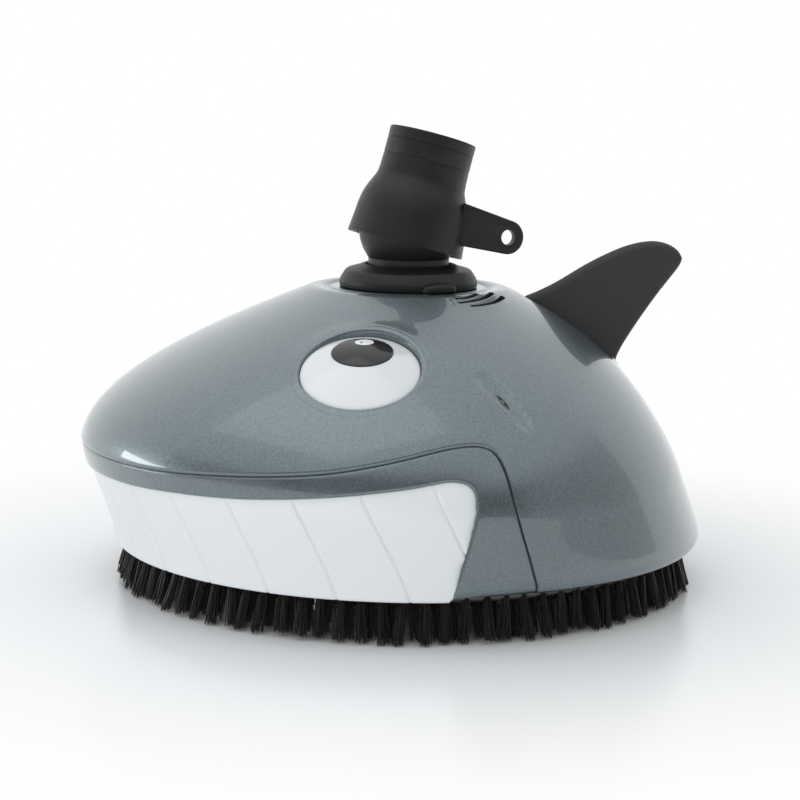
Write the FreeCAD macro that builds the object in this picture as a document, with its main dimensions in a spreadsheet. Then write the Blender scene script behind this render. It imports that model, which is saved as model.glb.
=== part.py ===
import FreeCAD, Part
import Sketcher
import math
import os
import re

# Suction pool cleaner with a shark's body: a hollow shell on a bristle ring,
# a swivelling ball neck with a hose cuff, and a water turbine that spins a
# weight and turns the neck through a gear train.
# Frame: origin on the floor below the neck, nose towards -Y, left side +X, +Z up.

doc = FreeCAD.newDocument("PoolCleaner")
sheet = doc.addObject("Spreadsheet::Sheet", "Sizes")

SIZES = {
    # Body: round slices, alike up to the widest height, whose centres move towards the nose
    "body_radius": 152.3,
    "widest_height": 58,
    "body_rise": 108.6,
    "body_fullness": 0.908,
    "nose_shift": 16.96,
    "shift_start": 20,
    "shift_span": 130,
    "shift_sharpness": 1.57,
    "rim_height": 19,
    "shell_top": 148.5,
    "wall": 3,
    "slices": 10,
    # Mouth opening, seen from the side: a sloping top edge, a round corner and a back edge
    "mouth_nose_y": -160,
    "mouth_nose_z": 57,
    "mouth_corner_y": 3,
    "mouth_corner_z": 79,
    "mouth_corner_radius": 9,
    "mouth_foot_y": -8.5,
    "teeth_bottom": 20.8,
    "teeth_thickness": 2.5,
    "teeth_flange": 6,
    "seam_gap": 0.3,
    "part_gap": 0.3,
    "running_gap": 0.05,
    # Eyes
    "eye_x": 96,
    "eye_y": -42.6,
    "eye_z": 119.5,
    "eye_heading": 71.7,
    "eye_pitch": 56,
    "eye_radius": 28,
    "eye_curve": 78,
    "eye_crown": 4,
    "eye_depth": 11,
    "eye_wall": 2.5,
    "eye_flange": 2.6,
    "eye_flange_radius": 31,
    "eye_floor": 1.5,
    "pupil_radius": 15.6,
    "pupil_offset": 12,
    "pupil_thickness": 0.8,
    # Shoulder latch in its finger scoop
    "latch_x": 112.5,
    "latch_y": 23,
    "latch_z": 107.5,
    "latch_heading": 108.1,
    "latch_pitch": 50.5,
    "scoop_length": 40,
    "scoop_width": 17,
    "scoop_depth": 4.5,
    "scoop_turn": 19,
    "pod_radius": 11,
    "pod_depth": 10,
    "latch_length": 9.4,
    "latch_width": 2.2,
    "latch_reach": 12,
    "latch_top": 5.5,
    "latch_foot": 3,
    # Vents beside the neck
    "vent_first": 51,
    "vent_pitch": 5,
    "vent_width": 2,
    "vent_start": 107,
    "vent_turn": 33,
    # Dorsal fin, seen from the side
    "fin_thickness": 9,
    "fin_front_y": 59.5,
    "fin_front_z": 142.5,
    "fin_brow_y": 96.3,
    "fin_brow_z": 161.1,
    "fin_top_y": 128,
    "fin_top_z": 171.6,
    "fin_tip_y": 145,
    "fin_tip_z": 163.5,
    "fin_back_y": 132.3,
    "fin_back_z": 144.2,
    "fin_heel_y": 111,
    "fin_heel_z": 109,
    "fin_root": 8,
    "fin_screw_high": 131,
    "fin_screw_low": 117,
    # Bristles and chassis
    "bristle_outer": 148.3,
    "bristle_inner": 136,
    "carrier_low": 14.5,
    "carrier_inner": 126,
    "chassis_radius": 140.5,
    "chassis_thickness": 3,
    "throat_radius": 40,
    "post_reach": 112,
    "post_radius": 5,
    "post_count": 6,
    "screw_radius": 1.7,
    "screw_length": 14,
    "screw_head_radius": 3.4,
    "screw_head_height": 2.4,
    "screw_seat": 1.6,
    "carrier_screw_reach": 131,
    "ballast_inner": 76,
    "ballast_outer": 100,
    "ballast_height": 9,
    "ballast_turn": 70,
    # Water turbine
    "duct_bore": 30,
    "duct_wall": 3,
    "duct_flange": 47.5,
    "turbine_low": 50,
    "turbine_height": 10,
    "turbine_gap": 0.6,
    "turbine_hub": 8,
    "turbine_shroud": 30.8,
    "blade_count": 6,
    "blade_thickness": 2,
    "blade_pitch": 35,
    "shaft_radius": 3,
    "bush_radius": 5,
    "spider_hub": 8,
    "spider_height": 6,
    "spider_arm": 3,
    "outlet_bore": 22.5,
    "cone_low": 70,
    "cone_high": 84,
    # Gears
    "turbine_module": 1.5,
    "turbine_teeth": 48,
    "weight_teeth": 24,
    "train_module": 1.25,
    "pinion_teeth": 12,
    "idler_teeth": 36,
    "swivel_teeth": 72,
    "pressure_angle": 25,
    "tooth_backlash": 0.16,
    "gear_heading": 62,
    "axle_radius": 2.5,
    "weight_radius": 15,
    "weight_low": 66,
    "weight_height": 12,
    "gear_plate_low": 86,
    "gear_plate_thickness": 3,
    "train_low": 91,
    "train_face": 5,
    "swivel_low": 98,
    "swivel_face": 6,
    "gear_cover_low": 107,
    "gear_cover_thickness": 3,
    "plate_radius": 78,
    "plate_bore": 29,
    "plate_post_radius": 4,
    "plate_post_reach": 69,
    "plate_post_heading": 30,
    "nut_radius": 4.5,
    "nut_height": 3,
    "socket_depth": 2,
    "axle_post_radius": 5.5,
    "axle_post_top": 48,
    "axle_low": 42,
    # Swivel neck
    "ball_height": 178.8,
    "ball_radius": 25.5,
    "ball_crown": 15,
    "neck_bore": 17.5,
    "neck_radius": 26.9,
    "throat_low": 140,
    "throat_high": 152,
    "neck_clip_radius": 31,
    "neck_clip_height": 2.2,
    "groove_radius": 20.5,
    "neck_low": 96,
    "neck_flange": 29,
    "neck_flange_low": 149.2,
    "neck_flange_height": 3.2,
    "bearing_radius": 29.8,
    "bearing_low": 138,
    "boss_radius": 39.5,
    "boss_low": 138,
    "boss_top": 149,
    "spigot_radius": 31.2,
    "spigot_top": 152.6,
    "lock_radius": 35,
    "lock_low": 149.3,
    "lock_edge": 152.5,
    "lock_bore": 31.5,
    "lock_shoulder": 31.6,
    "lock_shoulder_z": 158,
    "lock_top": 160.6,
    "lock_lip": 22,
    "lock_lip_low": 153,
    "tab_length": 19,
    "tab_reach": 39.5,
    "tab_height": 5.4,
    "tab_heading": 104,
    # Hose hood, in its own frame with the ball's centre at the origin
    "hood_lean": 15.6,
    "hood_heading": 14.7,
    "hood_spin": -26.7,
    "skirt_radius": 29.8,
    "skirt_low": -8.7,
    "skirt_height": 4.3,
    "hood_radius": 28.3,
    "hood_shoulder": 12,
    "hood_brow": 25.7,
    "hood_brow_height": 17.3,
    "cuff_radius": 22.2,
    "cuff_low": 23,
    "cuff_top": 47.7,
    "cuff_bore": 19.2,
    "hose_stop": 26.2,
    "hose_way": 17.6,
    "hood_cavity": 26.2,
    "seat_radius": 26.9,
    "seat_low": -5.5,
    "seat_high": 8,
    "seat_clearance": 0.1,
    "clip_outer": 27.9,
    "clip_inner": 25.6,
    "clip_low": -8.5,
    "clip_height": 2.5,
    "lug_reach": 49,
    "lug_radius": 8.6,
    "lug_centre": 8,
    "lug_thickness": 5,
    "lug_root": 20,
    "lug_root_high": 18.5,
    "lug_root_low": -3,
    "lug_hole": 3.85,
    "lug_twist": 22,
}

for row, (alias, number) in enumerate(SIZES.items(), start=1):
    sheet.set(f"A{row}", alias)
    sheet.set(f"B{row}", str(number))
    sheet.setAlias(f"B{row}", alias)
doc.recompute()

NODES = {}


# ---------------------------------------------------------------- helpers

def named(text):
    """The same expression with each size name pointing at its sheet cell."""
    return re.sub(r"[a-z][a-z_]*", lambda word: "Sizes." + word[0] if word[0] in SIZES else word[0], text)


def measure(text):
    """The value of an expression in size names, as a plain number."""
    return float(sheet.evalExpression(named(str(text))))


def bind(thing, **expressions):
    """Binds properties to expressions in size names."""
    for path, text in expressions.items():
        thing.setExpression(path.replace("__", "."), named(str(text)))


def cylinder(name, radius, low, high, x="0", y="0"):
    """An upright solid cylinder between two heights."""
    rod = doc.addObject("Part::Cylinder", name)
    bind(rod, Radius=radius, Height=f"({high}) - ({low})", Placement__Base__x=x, Placement__Base__y=y,
         Placement__Base__z=low)
    return rod


def box(name, size, corner):
    """A plain block from its three sizes and its low corner."""
    block = doc.addObject("Part::Box", name)
    bind(block, Length=size[0], Width=size[1], Height=size[2], Placement__Base__x=corner[0],
         Placement__Base__y=corner[1], Placement__Base__z=corner[2])
    return block


def sphere(name, radius, height="0"):
    """A ball centred on the axis at a height."""
    ball = doc.addObject("Part::Sphere", name)
    bind(ball, Radius=radius, Placement__Base__z=height)
    return ball


def cone(name, low_radius, high_radius, low, high):
    """An upright cone frustum on the axis."""
    frustum = doc.addObject("Part::Cone", name)
    bind(frustum, Radius1=low_radius, Radius2=high_radius, Height=f"({high}) - ({low})",
         Placement__Base__z=low)
    return frustum


def cut(name, base, tool):
    """What is left of base once tool is taken away."""
    rest = doc.addObject("Part::Cut", name)
    rest.Base = base
    rest.Tool = tool
    return rest


def fuse(name, pieces):
    """Several overlapping shapes joined into one."""
    joined = doc.addObject("Part::MultiFuse", name)
    joined.Shapes = pieces
    return joined


def common(name, pieces):
    """What several shapes share."""
    shared = doc.addObject("Part::MultiCommon", name)
    shared.Shapes = pieces
    return shared


def mirrored(name, source):
    """The same piece on the other side of the body's middle plane."""
    twin = doc.addObject("Part::Mirroring", name)
    twin.Source = source
    twin.Normal = (1, 0, 0)
    return twin


def formed(name, shape):
    """A shape made from the sheet's values where no primitive fits."""
    piece = doc.addObject("Part::Feature", name)
    piece.Shape = shape
    piece.Placement = shape.Placement
    return piece


def ring(name, outer, inner, low, high, x="0", y="0"):
    """A flat washer or a tube."""
    blank = cylinder(name + "_blank", outer, low, high, x, y)
    bore = cylinder(name + "_bore", inner, f"({low}) - 1", f"({high}) + 1", x, y)
    return cut(name, blank, bore)


def turned(name, outline):
    """A body of revolution about the axis, from (radius, height) pairs joined by straight lines."""
    body = doc.addObject("PartDesign::Body", name)
    sketch = body.newObject("Sketcher::SketchObject", name + "_outline")
    plane = [f for f in body.Origin.OriginFeatures if f.Role == "XZ_Plane"][0]
    sketch.AttachmentSupport = [(plane, "")]
    sketch.MapMode = "FlatFace"
    points = [FreeCAD.Vector(measure(r), measure(z), 0) for r, z in outline]
    count = len(points)
    for index in range(count):
        sketch.addGeometry(Part.LineSegment(points[index], points[(index + 1) % count]))
    for index in range(count):
        sketch.addConstraint(Sketcher.Constraint("Coincident", index, 2, (index + 1) % count, 1))
    for index, (r, z) in enumerate(outline):
        across = sketch.addConstraint(Sketcher.Constraint("DistanceX", -1, 1, index, 1, points[index].x))
        sketch.setExpression(f"Constraints[{across}]", named(r))
        up = sketch.addConstraint(Sketcher.Constraint("DistanceY", -1, 1, index, 1, points[index].y))
        sketch.setExpression(f"Constraints[{up}]", named(z))
    revolution = body.newObject("PartDesign::Revolution", name + "_turned")
    revolution.Profile = sketch
    revolution.ReferenceAxis = (sketch, ["V_Axis"])
    revolution.Angle = 360
    body.Tip = revolution
    return body


def keep(node, piece):
    """Records a finished piece as a node of the object."""
    piece.Label = node
    NODES[node] = piece
    return piece


def facing(x, y, z, heading, pitch):
    """A placement whose Z points out of the body: heading from the nose, pitch above level."""
    turn = math.radians(measure(heading))
    rise = math.radians(measure(pitch))
    out = FreeCAD.Vector(math.cos(rise) * math.sin(turn), -math.cos(rise) * math.cos(turn), math.sin(rise))
    along = FreeCAD.Vector(math.cos(turn), math.sin(turn), 0)
    rotation = FreeCAD.Rotation(along, FreeCAD.Vector(), out, "ZXY")
    return FreeCAD.Placement(FreeCAD.Vector(measure(x), measure(y), measure(z)), rotation)


# ---------------------------------------------------------------- body surfaces

def slice_radius(height):
    rise = f"max(({height}) - widest_height; 0)"
    return f"(body_radius * (1 - ({rise} / body_rise) ^ 2) ^ body_fullness)"


def slice_shift(height):
    return f"(nose_shift * sin(180 deg * max(({height}) - shift_start; 0) / shift_span) ^ shift_sharpness)"


def slice_slope(height):
    """How fast the radius falls with height."""
    rise = f"max(({height}) - widest_height; 0)"
    return (f"(2 * body_fullness * body_radius * {rise} / body_rise ^ 2"
            f" * (1 - ({rise} / body_rise) ^ 2) ^ (body_fullness - 1))")


def body_form(name, inset, low, high):
    """A closed solid through round slices of the body, set in square to its surface, closer near the top."""
    circles = []
    count = int(measure("slices"))
    for step in range(count):
        height = f"(({low}) + (({high}) - ({low})) * sin(90 deg * {step} / {count - 1}))"
        slant = f"sqrt(1 + {slice_slope(height)} ^ 2)"
        circle = doc.addObject("Part::Circle", f"{name}_slice_{step}")
        bind(circle, Radius=f"{slice_radius(height)} - ({inset}) / {slant}",
             Placement__Base__z=f"{height} - ({inset}) * {slice_slope(height)} / {slant}",
             Placement__Base__y=f"-{slice_shift(height)}")
        circles.append(circle)
    loft = doc.addObject("Part::Loft", name)
    loft.Sections = circles
    loft.Solid = True
    loft.Ruled = False
    return loft


def mouth_zone(name, move, floor):
    """The space in front of the mouth's edge, right through the body, with the edge moved up and back."""
    nose = FreeCAD.Vector(0, measure(f"mouth_nose_y + {move}"), measure(f"mouth_nose_z + {move}"))
    corner = FreeCAD.Vector(0, measure(f"mouth_corner_y + {move}"), measure(f"mouth_corner_z + {move}"))
    foot = FreeCAD.Vector(0, measure(f"mouth_foot_y + {move}"), measure(floor))
    ahead = (nose - corner).normalize()
    far = corner + ahead * measure("2 * body_radius")
    below = FreeCAD.Vector(0, far.y, foot.z)
    down = (foot - corner).normalize()
    half = ahead.getAngle(down) / 2
    radius = measure("mouth_corner_radius")
    reach = radius / math.tan(half)
    middle = corner + (ahead + down).normalize() * (radius / math.sin(half) - radius)
    edges = [Part.makeLine(far, corner + ahead * reach)]
    edges.append(Part.Arc(corner + ahead * reach, middle, corner + down * reach).toShape())
    edges.append(Part.makeLine(corner + down * reach, foot))
    edges.append(Part.makeLine(foot, below))
    edges.append(Part.makeLine(below, far))
    face = Part.Face(Part.Wire(edges))
    face.translate(FreeCAD.Vector(-measure("2 * body_radius"), 0, 0))
    return formed(name, face.extrude(FreeCAD.Vector(measure("4 * body_radius"), 0, 0)))


outer_form = body_form("outer_form", "0", "rim_height", "shell_top")
inner_form = body_form("inner_form", "wall", "rim_height - 1", "shell_top")
seat_form = body_form("seat_form", "-seam_gap", "rim_height", "shell_top")
teeth_form = body_form("teeth_form", "wall + seam_gap", "rim_height - 1", "shell_top")
teeth_inner = body_form("teeth_inner", "wall + seam_gap + teeth_thickness", "rim_height - 1.5", "shell_top")
doc.recompute()
opening_zone = mouth_zone("opening_zone", "0", "rim_height - 4")
flange_zone = mouth_zone("flange_zone", "teeth_flange", "teeth_bottom")
mid_form = body_form("mid_form", "wall / 2", "rim_height", "shell_top")


def on_body(height):
    """The outside of the body on its spine at a height."""
    return FreeCAD.Vector(0, measure(f"{slice_radius(height)} - {slice_shift(height)}"), measure(height))


# ---------------------------------------------------------------- places of the gear axles

WEIGHT_REACH = "((turbine_teeth + weight_teeth) * turbine_module / 2)"
IDLER_REACH = "((swivel_teeth + pinion_teeth) * train_module / 2)"
IDLER_STEP = "((idler_teeth + pinion_teeth) * train_module / 2)"
IDLER_TURN = (f"acos(({WEIGHT_REACH} ^ 2 + {IDLER_REACH} ^ 2 - {IDLER_STEP} ^ 2)"
              f" / (2 * {WEIGHT_REACH} * {IDLER_REACH}))")
WEIGHT_X = f"({WEIGHT_REACH} * cos(gear_heading * 1 deg))"
WEIGHT_Y = f"({WEIGHT_REACH} * sin(gear_heading * 1 deg))"
IDLER_X = f"({IDLER_REACH} * cos(gear_heading * 1 deg + {IDLER_TURN}))"
IDLER_Y = f"({IDLER_REACH} * sin(gear_heading * 1 deg + {IDLER_TURN}))"
PAN_TOP = "(rim_height + 1.5 + chassis_thickness)"
PAN_LOW = "(rim_height + 1.5)"


def around(count, reach, first="0"):
    """Places evenly spaced on a circle, as pairs of expressions."""
    spots = []
    for step in range(int(measure(count))):
        angle = f"(({first}) + 360 / ({count}) * {step}) * 1 deg"
        spots.append((f"({reach}) * cos({angle})", f"({reach}) * sin({angle})"))
    return spots


POSTS = around("post_count", "post_reach")
CARRIER_SPOTS = around("post_count", "carrier_screw_reach", "30")
PLATE_SPOTS = around("3", "plate_post_reach", "plate_post_heading")


# ---------------------------------------------------------------- eyes and their pupils

EYE = facing("eye_x", "eye_y", "eye_z", "eye_heading", "eye_pitch")


def eyeball():
    """A hollow cap with a shallow dome and a flange that holds it behind the shell."""
    radius = measure("eye_radius")
    low = -measure("eye_depth")
    bowl = Part.makeSphere(measure("eye_curve"))
    bowl.translate(FreeCAD.Vector(0, 0, measure("eye_crown - eye_curve")))
    barrel = Part.makeCylinder(radius, measure("eye_depth + 2 * eye_crown"), FreeCAD.Vector(0, 0, low))
    flange = Part.makeCylinder(measure("eye_flange_radius"), measure("eye_flange"), FreeCAD.Vector(0, 0, low))
    inside = Part.makeCylinder(radius - measure("eye_wall"), measure("eye_depth - eye_floor + 1"),
                               FreeCAD.Vector(0, 0, low - 1))
    return barrel.common(bowl).fuse(flange).cut(inside).removeSplitter()


def pupil():
    """A thin round shell that lies on the eye's dome, towards its upper edge."""
    curve = measure("eye_curve + running_gap")
    middle = FreeCAD.Vector(0, 0, measure("eye_crown - eye_curve"))
    tilt = math.asin(measure("pupil_offset") / curve)
    out = FreeCAD.Vector(0, math.sin(tilt), math.cos(tilt))
    outer = Part.makeSphere(curve + measure("pupil_thickness"), middle)
    inner = Part.makeSphere(curve, middle)
    rod = Part.makeCylinder(measure("pupil_radius"), measure("eye_curve") * 1.2, middle, out)
    return outer.cut(inner).common(rod)


def placed(name, shape, placement):
    """A formed piece with its place given after its shape."""
    piece = formed(name, shape)
    piece.Placement = placement
    return piece


eye_left = keep("eye_left", placed("eye_left", eyeball(), EYE))
keep("eye_right", mirrored("eye_right", eye_left))
pupil_left = keep("pupil_left", placed("pupil_left", pupil(), EYE))
keep("pupil_right", mirrored("pupil_right", pupil_left))
eye_hole = Part.makeCylinder(measure("eye_radius + part_gap"), 40, FreeCAD.Vector(0, 0, -20))


# ---------------------------------------------------------------- shoulder latches

LATCH = facing("latch_x", "latch_y", "latch_z", "latch_heading", "latch_pitch")
LATCH = LATCH * FreeCAD.Placement(FreeCAD.Vector(), FreeCAD.Rotation(FreeCAD.Vector(0, 0, 1),
                                                                     measure("scoop_turn")))


def latch_block(extra, low, high):
    """A block along the scoop, wider than the latch by a gap all round."""
    length = measure("latch_length") + 2 * extra
    width = measure("latch_width") + 2 * extra
    return Part.makeBox(width, length, high - low, FreeCAD.Vector(-width / 2, -length / 2, low))


latch_tongue = latch_block(0, -measure("latch_reach"), -measure("latch_top"))
latch_foot = latch_block(measure("latch_foot"), -measure("latch_reach + 1.5"), -measure("latch_reach"))
latch_left = keep("latch_left", placed("latch_left", latch_tongue.fuse(latch_foot).removeSplitter(), LATCH))
keep("latch_right", mirrored("latch_right", latch_left))
pod_shape = Part.makeCylinder(measure("pod_radius"), measure("pod_depth") + 4,
                              FreeCAD.Vector(0, 0, -measure("pod_depth")))
scoop_matrix = FreeCAD.Matrix()
scoop_matrix.scale(measure("scoop_width / 2"), measure("scoop_length / 2"), measure("scoop_depth"))
scoop_shape = Part.makeSphere(1).transformGeometry(scoop_matrix)
slot_shape = latch_block(measure("part_gap"), -measure("pod_depth + 2"), 0)


# ---------------------------------------------------------------- dorsal fin and its screws

def fin_outline():
    """The fin from the side: a spline over its back and tip, closed by two lines inside the body."""
    points = []
    for place in ("front", "brow", "top", "tip", "back", "heel"):
        points.append(FreeCAD.Vector(0, measure(f"fin_{place}_y"), measure(f"fin_{place}_z")))
    line = Part.BSplineCurve()
    line.interpolate(points)
    chord = (points[-1] - points[0]).normalize()
    inward = FreeCAD.Vector(0, chord.z, -chord.y) * measure("fin_root")
    edges = [line.toShape()]
    edges.append(Part.makeLine(points[-1], points[-1] + inward))
    edges.append(Part.makeLine(points[-1] + inward, points[0] + inward))
    edges.append(Part.makeLine(points[0] + inward, points[0]))
    return Part.Face(Part.Wire(edges)), -inward.normalize()


fin_face, FIN_OUT = fin_outline()
fin_face.translate(FreeCAD.Vector(-measure("fin_thickness / 2"), 0, 0))
fin_blank = formed("fin_blank", fin_face.extrude(FreeCAD.Vector(measure("fin_thickness"), 0, 0)))


def screw_shape(length):
    """A pan-head screw with its seat at the origin and its shank along +Z."""
    shank = Part.makeCylinder(measure("screw_radius"), length)
    head = Part.makeCylinder(measure("screw_head_radius"), measure("screw_head_height"),
                             FreeCAD.Vector(0, 0, -measure("screw_head_height")))
    return shank.fuse(head).removeSplitter()


def screw_group(name, places, length):
    """Identical screws as one node of separate solids."""
    solids = []
    for place in places:
        screw = screw_shape(length)
        screw.Placement = place
        solids.append(screw)
    return keep(name, formed(name, Part.makeCompound(solids)))


fin_seats = []
for height in ("fin_screw_high", "fin_screw_low"):
    seat = on_body(height) - FIN_OUT * measure("wall + screw_seat")
    fin_seats.append(FreeCAD.Placement(seat, FreeCAD.Rotation(FreeCAD.Vector(0, 0, 1), FIN_OUT)))
screw_group("fin_screws", fin_seats, measure("screw_length"))
fin_drills = []
for seat in fin_seats:
    drill = Part.makeCylinder(measure("screw_radius + running_gap"), measure("screw_length + 1"))
    drill.Placement = seat
    fin_drills.append(drill)
fin_seated = cut("fin_seated", fin_blank, seat_form)
fin_drilled = cut("dorsal_fin", fin_seated, formed("fin_drills", Part.makeCompound(fin_drills)))
keep("dorsal_fin", fin_drilled)


# ---------------------------------------------------------------- upper shell

shell_adds = []
for step, (x, y) in enumerate(POSTS):
    shell_adds.append(cylinder(f"shell_post_{step}", "post_radius", PAN_TOP, "shell_top", x, y))
shell_adds.append(cylinder("neck_boss", "boss_radius", "boss_low", "boss_top"))
left_pod = placed("latch_pod", pod_shape, LATCH)
pods = [left_pod, mirrored("latch_pod_right", left_pod)]
inner_adds = common("inner_adds", [fuse("inner_blanks", shell_adds + pods), mid_form])
neck_rim = cylinder("neck_rim", "boss_radius", "boss_top - 2", "boss_top")
spigot = cylinder("spigot", "spigot_radius", "boss_top - 1", "spigot_top")
shell_wall = cut("shell_wall", outer_form, inner_form)
shell_solid = fuse("shell_solid", [shell_wall, inner_adds, neck_rim, spigot])

neck_hole = cylinder("neck_hole", "bearing_radius + running_gap", "boss_low - 5", "spigot_top + 5")
cutters = [opening_zone, neck_hole]
eye_cutter = placed("eye_cutter", eye_hole, EYE)
cutters += [eye_cutter, mirrored("eye_cutter_right", eye_cutter)]
latch_cutter = placed("latch_cutter", scoop_shape.fuse(slot_shape), LATCH)
cutters += [latch_cutter, mirrored("latch_cutter_right", latch_cutter)]
for step, (x, y) in enumerate(POSTS):
    cutters.append(cylinder(f"post_pilot_{step}", "screw_radius + running_gap", f"{PAN_LOW} - 2",
                            f"{PAN_LOW} + screw_length + 1", x, y))


def vent_cutter(name, step, start):
    """One curved slot beside the neck."""
    wide = doc.addObject("Part::Cylinder", name + "_wide")
    slim = doc.addObject("Part::Cylinder", name + "_slim")
    reach = f"vent_first + vent_pitch * {step}"
    bind(wide, Radius=f"{reach} + vent_width / 2", Height="20", Angle="vent_turn")
    bind(slim, Radius=f"{reach} - vent_width / 2", Height="20", Angle="vent_turn")
    slot = cut(name, wide, slim)
    slot.Placement = FreeCAD.Placement(FreeCAD.Vector(0, 0, measure("shell_top - 14")),
                                       FreeCAD.Rotation(FreeCAD.Vector(0, 0, 1), start))
    return slot


for step in range(3):
    first = measure("vent_start - 90")
    cutters.append(vent_cutter(f"vent_left_{step}", step, first))
    cutters.append(vent_cutter(f"vent_right_{step}", step, 180 - first - measure("vent_turn")))
cutters.append(formed("shell_fin_drills", Part.makeCompound(fin_drills)))
shell_tools = doc.addObject("Part::Compound", "shell_tools")
shell_tools.Links = cutters
keep("upper_shell", cut("upper_shell", shell_solid, shell_tools))


# ---------------------------------------------------------------- teeth

teeth_wall = cut("teeth_wall", teeth_form, teeth_inner)
keep("teeth_insert", common("teeth_insert", [teeth_wall, flange_zone]))


# ---------------------------------------------------------------- chassis, bristles and ballast

pan_blank = ring("pan_blank", "chassis_radius", "throat_radius", PAN_LOW, PAN_TOP)
pan_drills = []
for step, (x, y) in enumerate(POSTS + CARRIER_SPOTS + PLATE_SPOTS):
    pan_drills.append(cylinder(f"pan_drill_{step}", "screw_radius + running_gap", f"{PAN_LOW} - 1",
                               f"{PAN_TOP} + 1", x, y))
pan_holes = doc.addObject("Part::Compound", "pan_holes")
pan_holes.Links = pan_drills
keep("chassis_pan", cut("chassis_pan", pan_blank, pan_holes))
carrier_blank = ring("carrier_blank", "bristle_outer - 0.8", "carrier_inner", "carrier_low", PAN_LOW)
carrier_drills = []
for step, (x, y) in enumerate(CARRIER_SPOTS):
    carrier_drills.append(cylinder(f"carrier_drill_{step}", "screw_radius + running_gap", "carrier_low - 1",
                                   f"{PAN_LOW} + 1", x, y))
carrier_holes = doc.addObject("Part::Compound", "carrier_holes")
carrier_holes.Links = carrier_drills
keep("bristle_carrier", cut("bristle_carrier", carrier_blank, carrier_holes))
keep("bristle_ring", ring("bristle_ring", "bristle_outer", "bristle_inner", "0", "carrier_low"))


def upright(x, y, height):
    """An upright placement at an expression pair."""
    return FreeCAD.Placement(FreeCAD.Vector(measure(x), measure(y), measure(height)), FreeCAD.Rotation())


screw_group("chassis_screws", [upright(x, y, PAN_LOW) for x, y in POSTS], measure("screw_length"))
screw_group("carrier_screws", [upright(x, y, "carrier_low") for x, y in CARRIER_SPOTS],
            measure(f"{PAN_TOP} - carrier_low - 0.5"))


def ballast_block(name, heading):
    """A curved iron block standing on the pan."""
    wide = doc.addObject("Part::Cylinder", name + "_wide")
    slim = doc.addObject("Part::Cylinder", name + "_slim")
    bind(wide, Radius="ballast_outer", Height="ballast_height", Angle="ballast_turn")
    bind(slim, Radius="ballast_inner", Height="ballast_height", Angle="ballast_turn")
    block = cut(name, wide, slim)
    block.Placement = FreeCAD.Placement(FreeCAD.Vector(0, 0, measure(PAN_TOP)),
                                        FreeCAD.Rotation(FreeCAD.Vector(0, 0, 1), heading))
    return block


ballast = doc.addObject("Part::Compound", "ballast_weights")
ballast.Links = [ballast_block("ballast_front", measure("-90 - ballast_turn / 2")),
                 ballast_block("ballast_rear", measure("90 - ballast_turn / 2"))]
keep("ballast_weights", ballast)


# ---------------------------------------------------------------- water way

TURBINE_TOP = "(turbine_low + turbine_height)"
keep("intake_duct", turned("intake_duct", [
    ("throat_radius", PAN_TOP),
    ("duct_flange", PAN_TOP),
    ("duct_flange", f"{PAN_TOP} + duct_wall"),
    ("throat_radius + duct_wall", f"{PAN_TOP} + duct_wall"),
    ("duct_bore + duct_wall", "turbine_low - spider_height - 2"),
    ("duct_bore + duct_wall", "turbine_low - turbine_gap"),
    ("duct_bore", "turbine_low - turbine_gap"),
    ("duct_bore", "turbine_low - spider_height - 4"),
]))
keep("outlet_duct", turned("outlet_duct", [
    ("duct_bore", f"{TURBINE_TOP} + turbine_gap"),
    ("duct_bore + duct_wall", f"{TURBINE_TOP} + turbine_gap"),
    ("duct_bore + duct_wall", "cone_low"),
    ("outlet_bore + duct_wall", "cone_high"),
    ("duct_bore + 2 * duct_wall", "cone_high"),
    ("duct_bore + 2 * duct_wall", "gear_plate_low"),
    ("outlet_bore + duct_wall", "gear_plate_low"),
    ("outlet_bore + duct_wall", "neck_low - 1"),
    ("outlet_bore", "neck_low - 1"),
    ("outlet_bore", "cone_high"),
    ("duct_bore", "cone_low"),
]))
keep("neck_seal", ring("neck_seal", "outlet_bore + duct_wall - part_gap", "outlet_bore + part_gap",
                       "neck_low - 1", "neck_low - 0.1"))


def spider(name, low):
    """A three-armed bearing carrier across the duct."""
    high = f"({low}) + spider_height"
    rim = ring(name + "_rim", "duct_bore - running_gap", "duct_bore - 1.8", low, high)
    arm = Part.makeBox(measure("duct_bore - spider_hub + 1"), measure("spider_arm"),
                       measure("spider_height"))
    arms = []
    for step in range(3):
        turn = FreeCAD.Rotation(FreeCAD.Vector(0, 0, 1), 30 + 120 * step)
        corner = turn.multVec(FreeCAD.Vector(measure("spider_hub - 1.8"), -measure("spider_arm / 2"), 0))
        arm.Placement = FreeCAD.Placement(corner + FreeCAD.Vector(0, 0, measure(low)), turn)
        arms.append(formed(f"{name}_arm_{step}", arm.copy()))
    hub = ring(name + "_hub", "spider_hub", "bush_radius + running_gap", low, high)
    keep(name, fuse(name, [rim, hub] + arms))
    keep(name.replace("spider", "bush"), ring(name.replace("spider", "bush"), "bush_radius",
                                              "shaft_radius + running_gap", low, high))


LOWER_SPIDER = "turbine_low - spider_height - 1"
UPPER_SPIDER = f"{TURBINE_TOP} + 2"
spider("lower_spider", LOWER_SPIDER)
spider("upper_spider", UPPER_SPIDER)


# ---------------------------------------------------------------- gears

def polar(radius, angle):
    """A point of the ground plane from its reach and its angle in radians."""
    return FreeCAD.Vector(radius * math.cos(angle), radius * math.sin(angle), 0)


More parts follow.
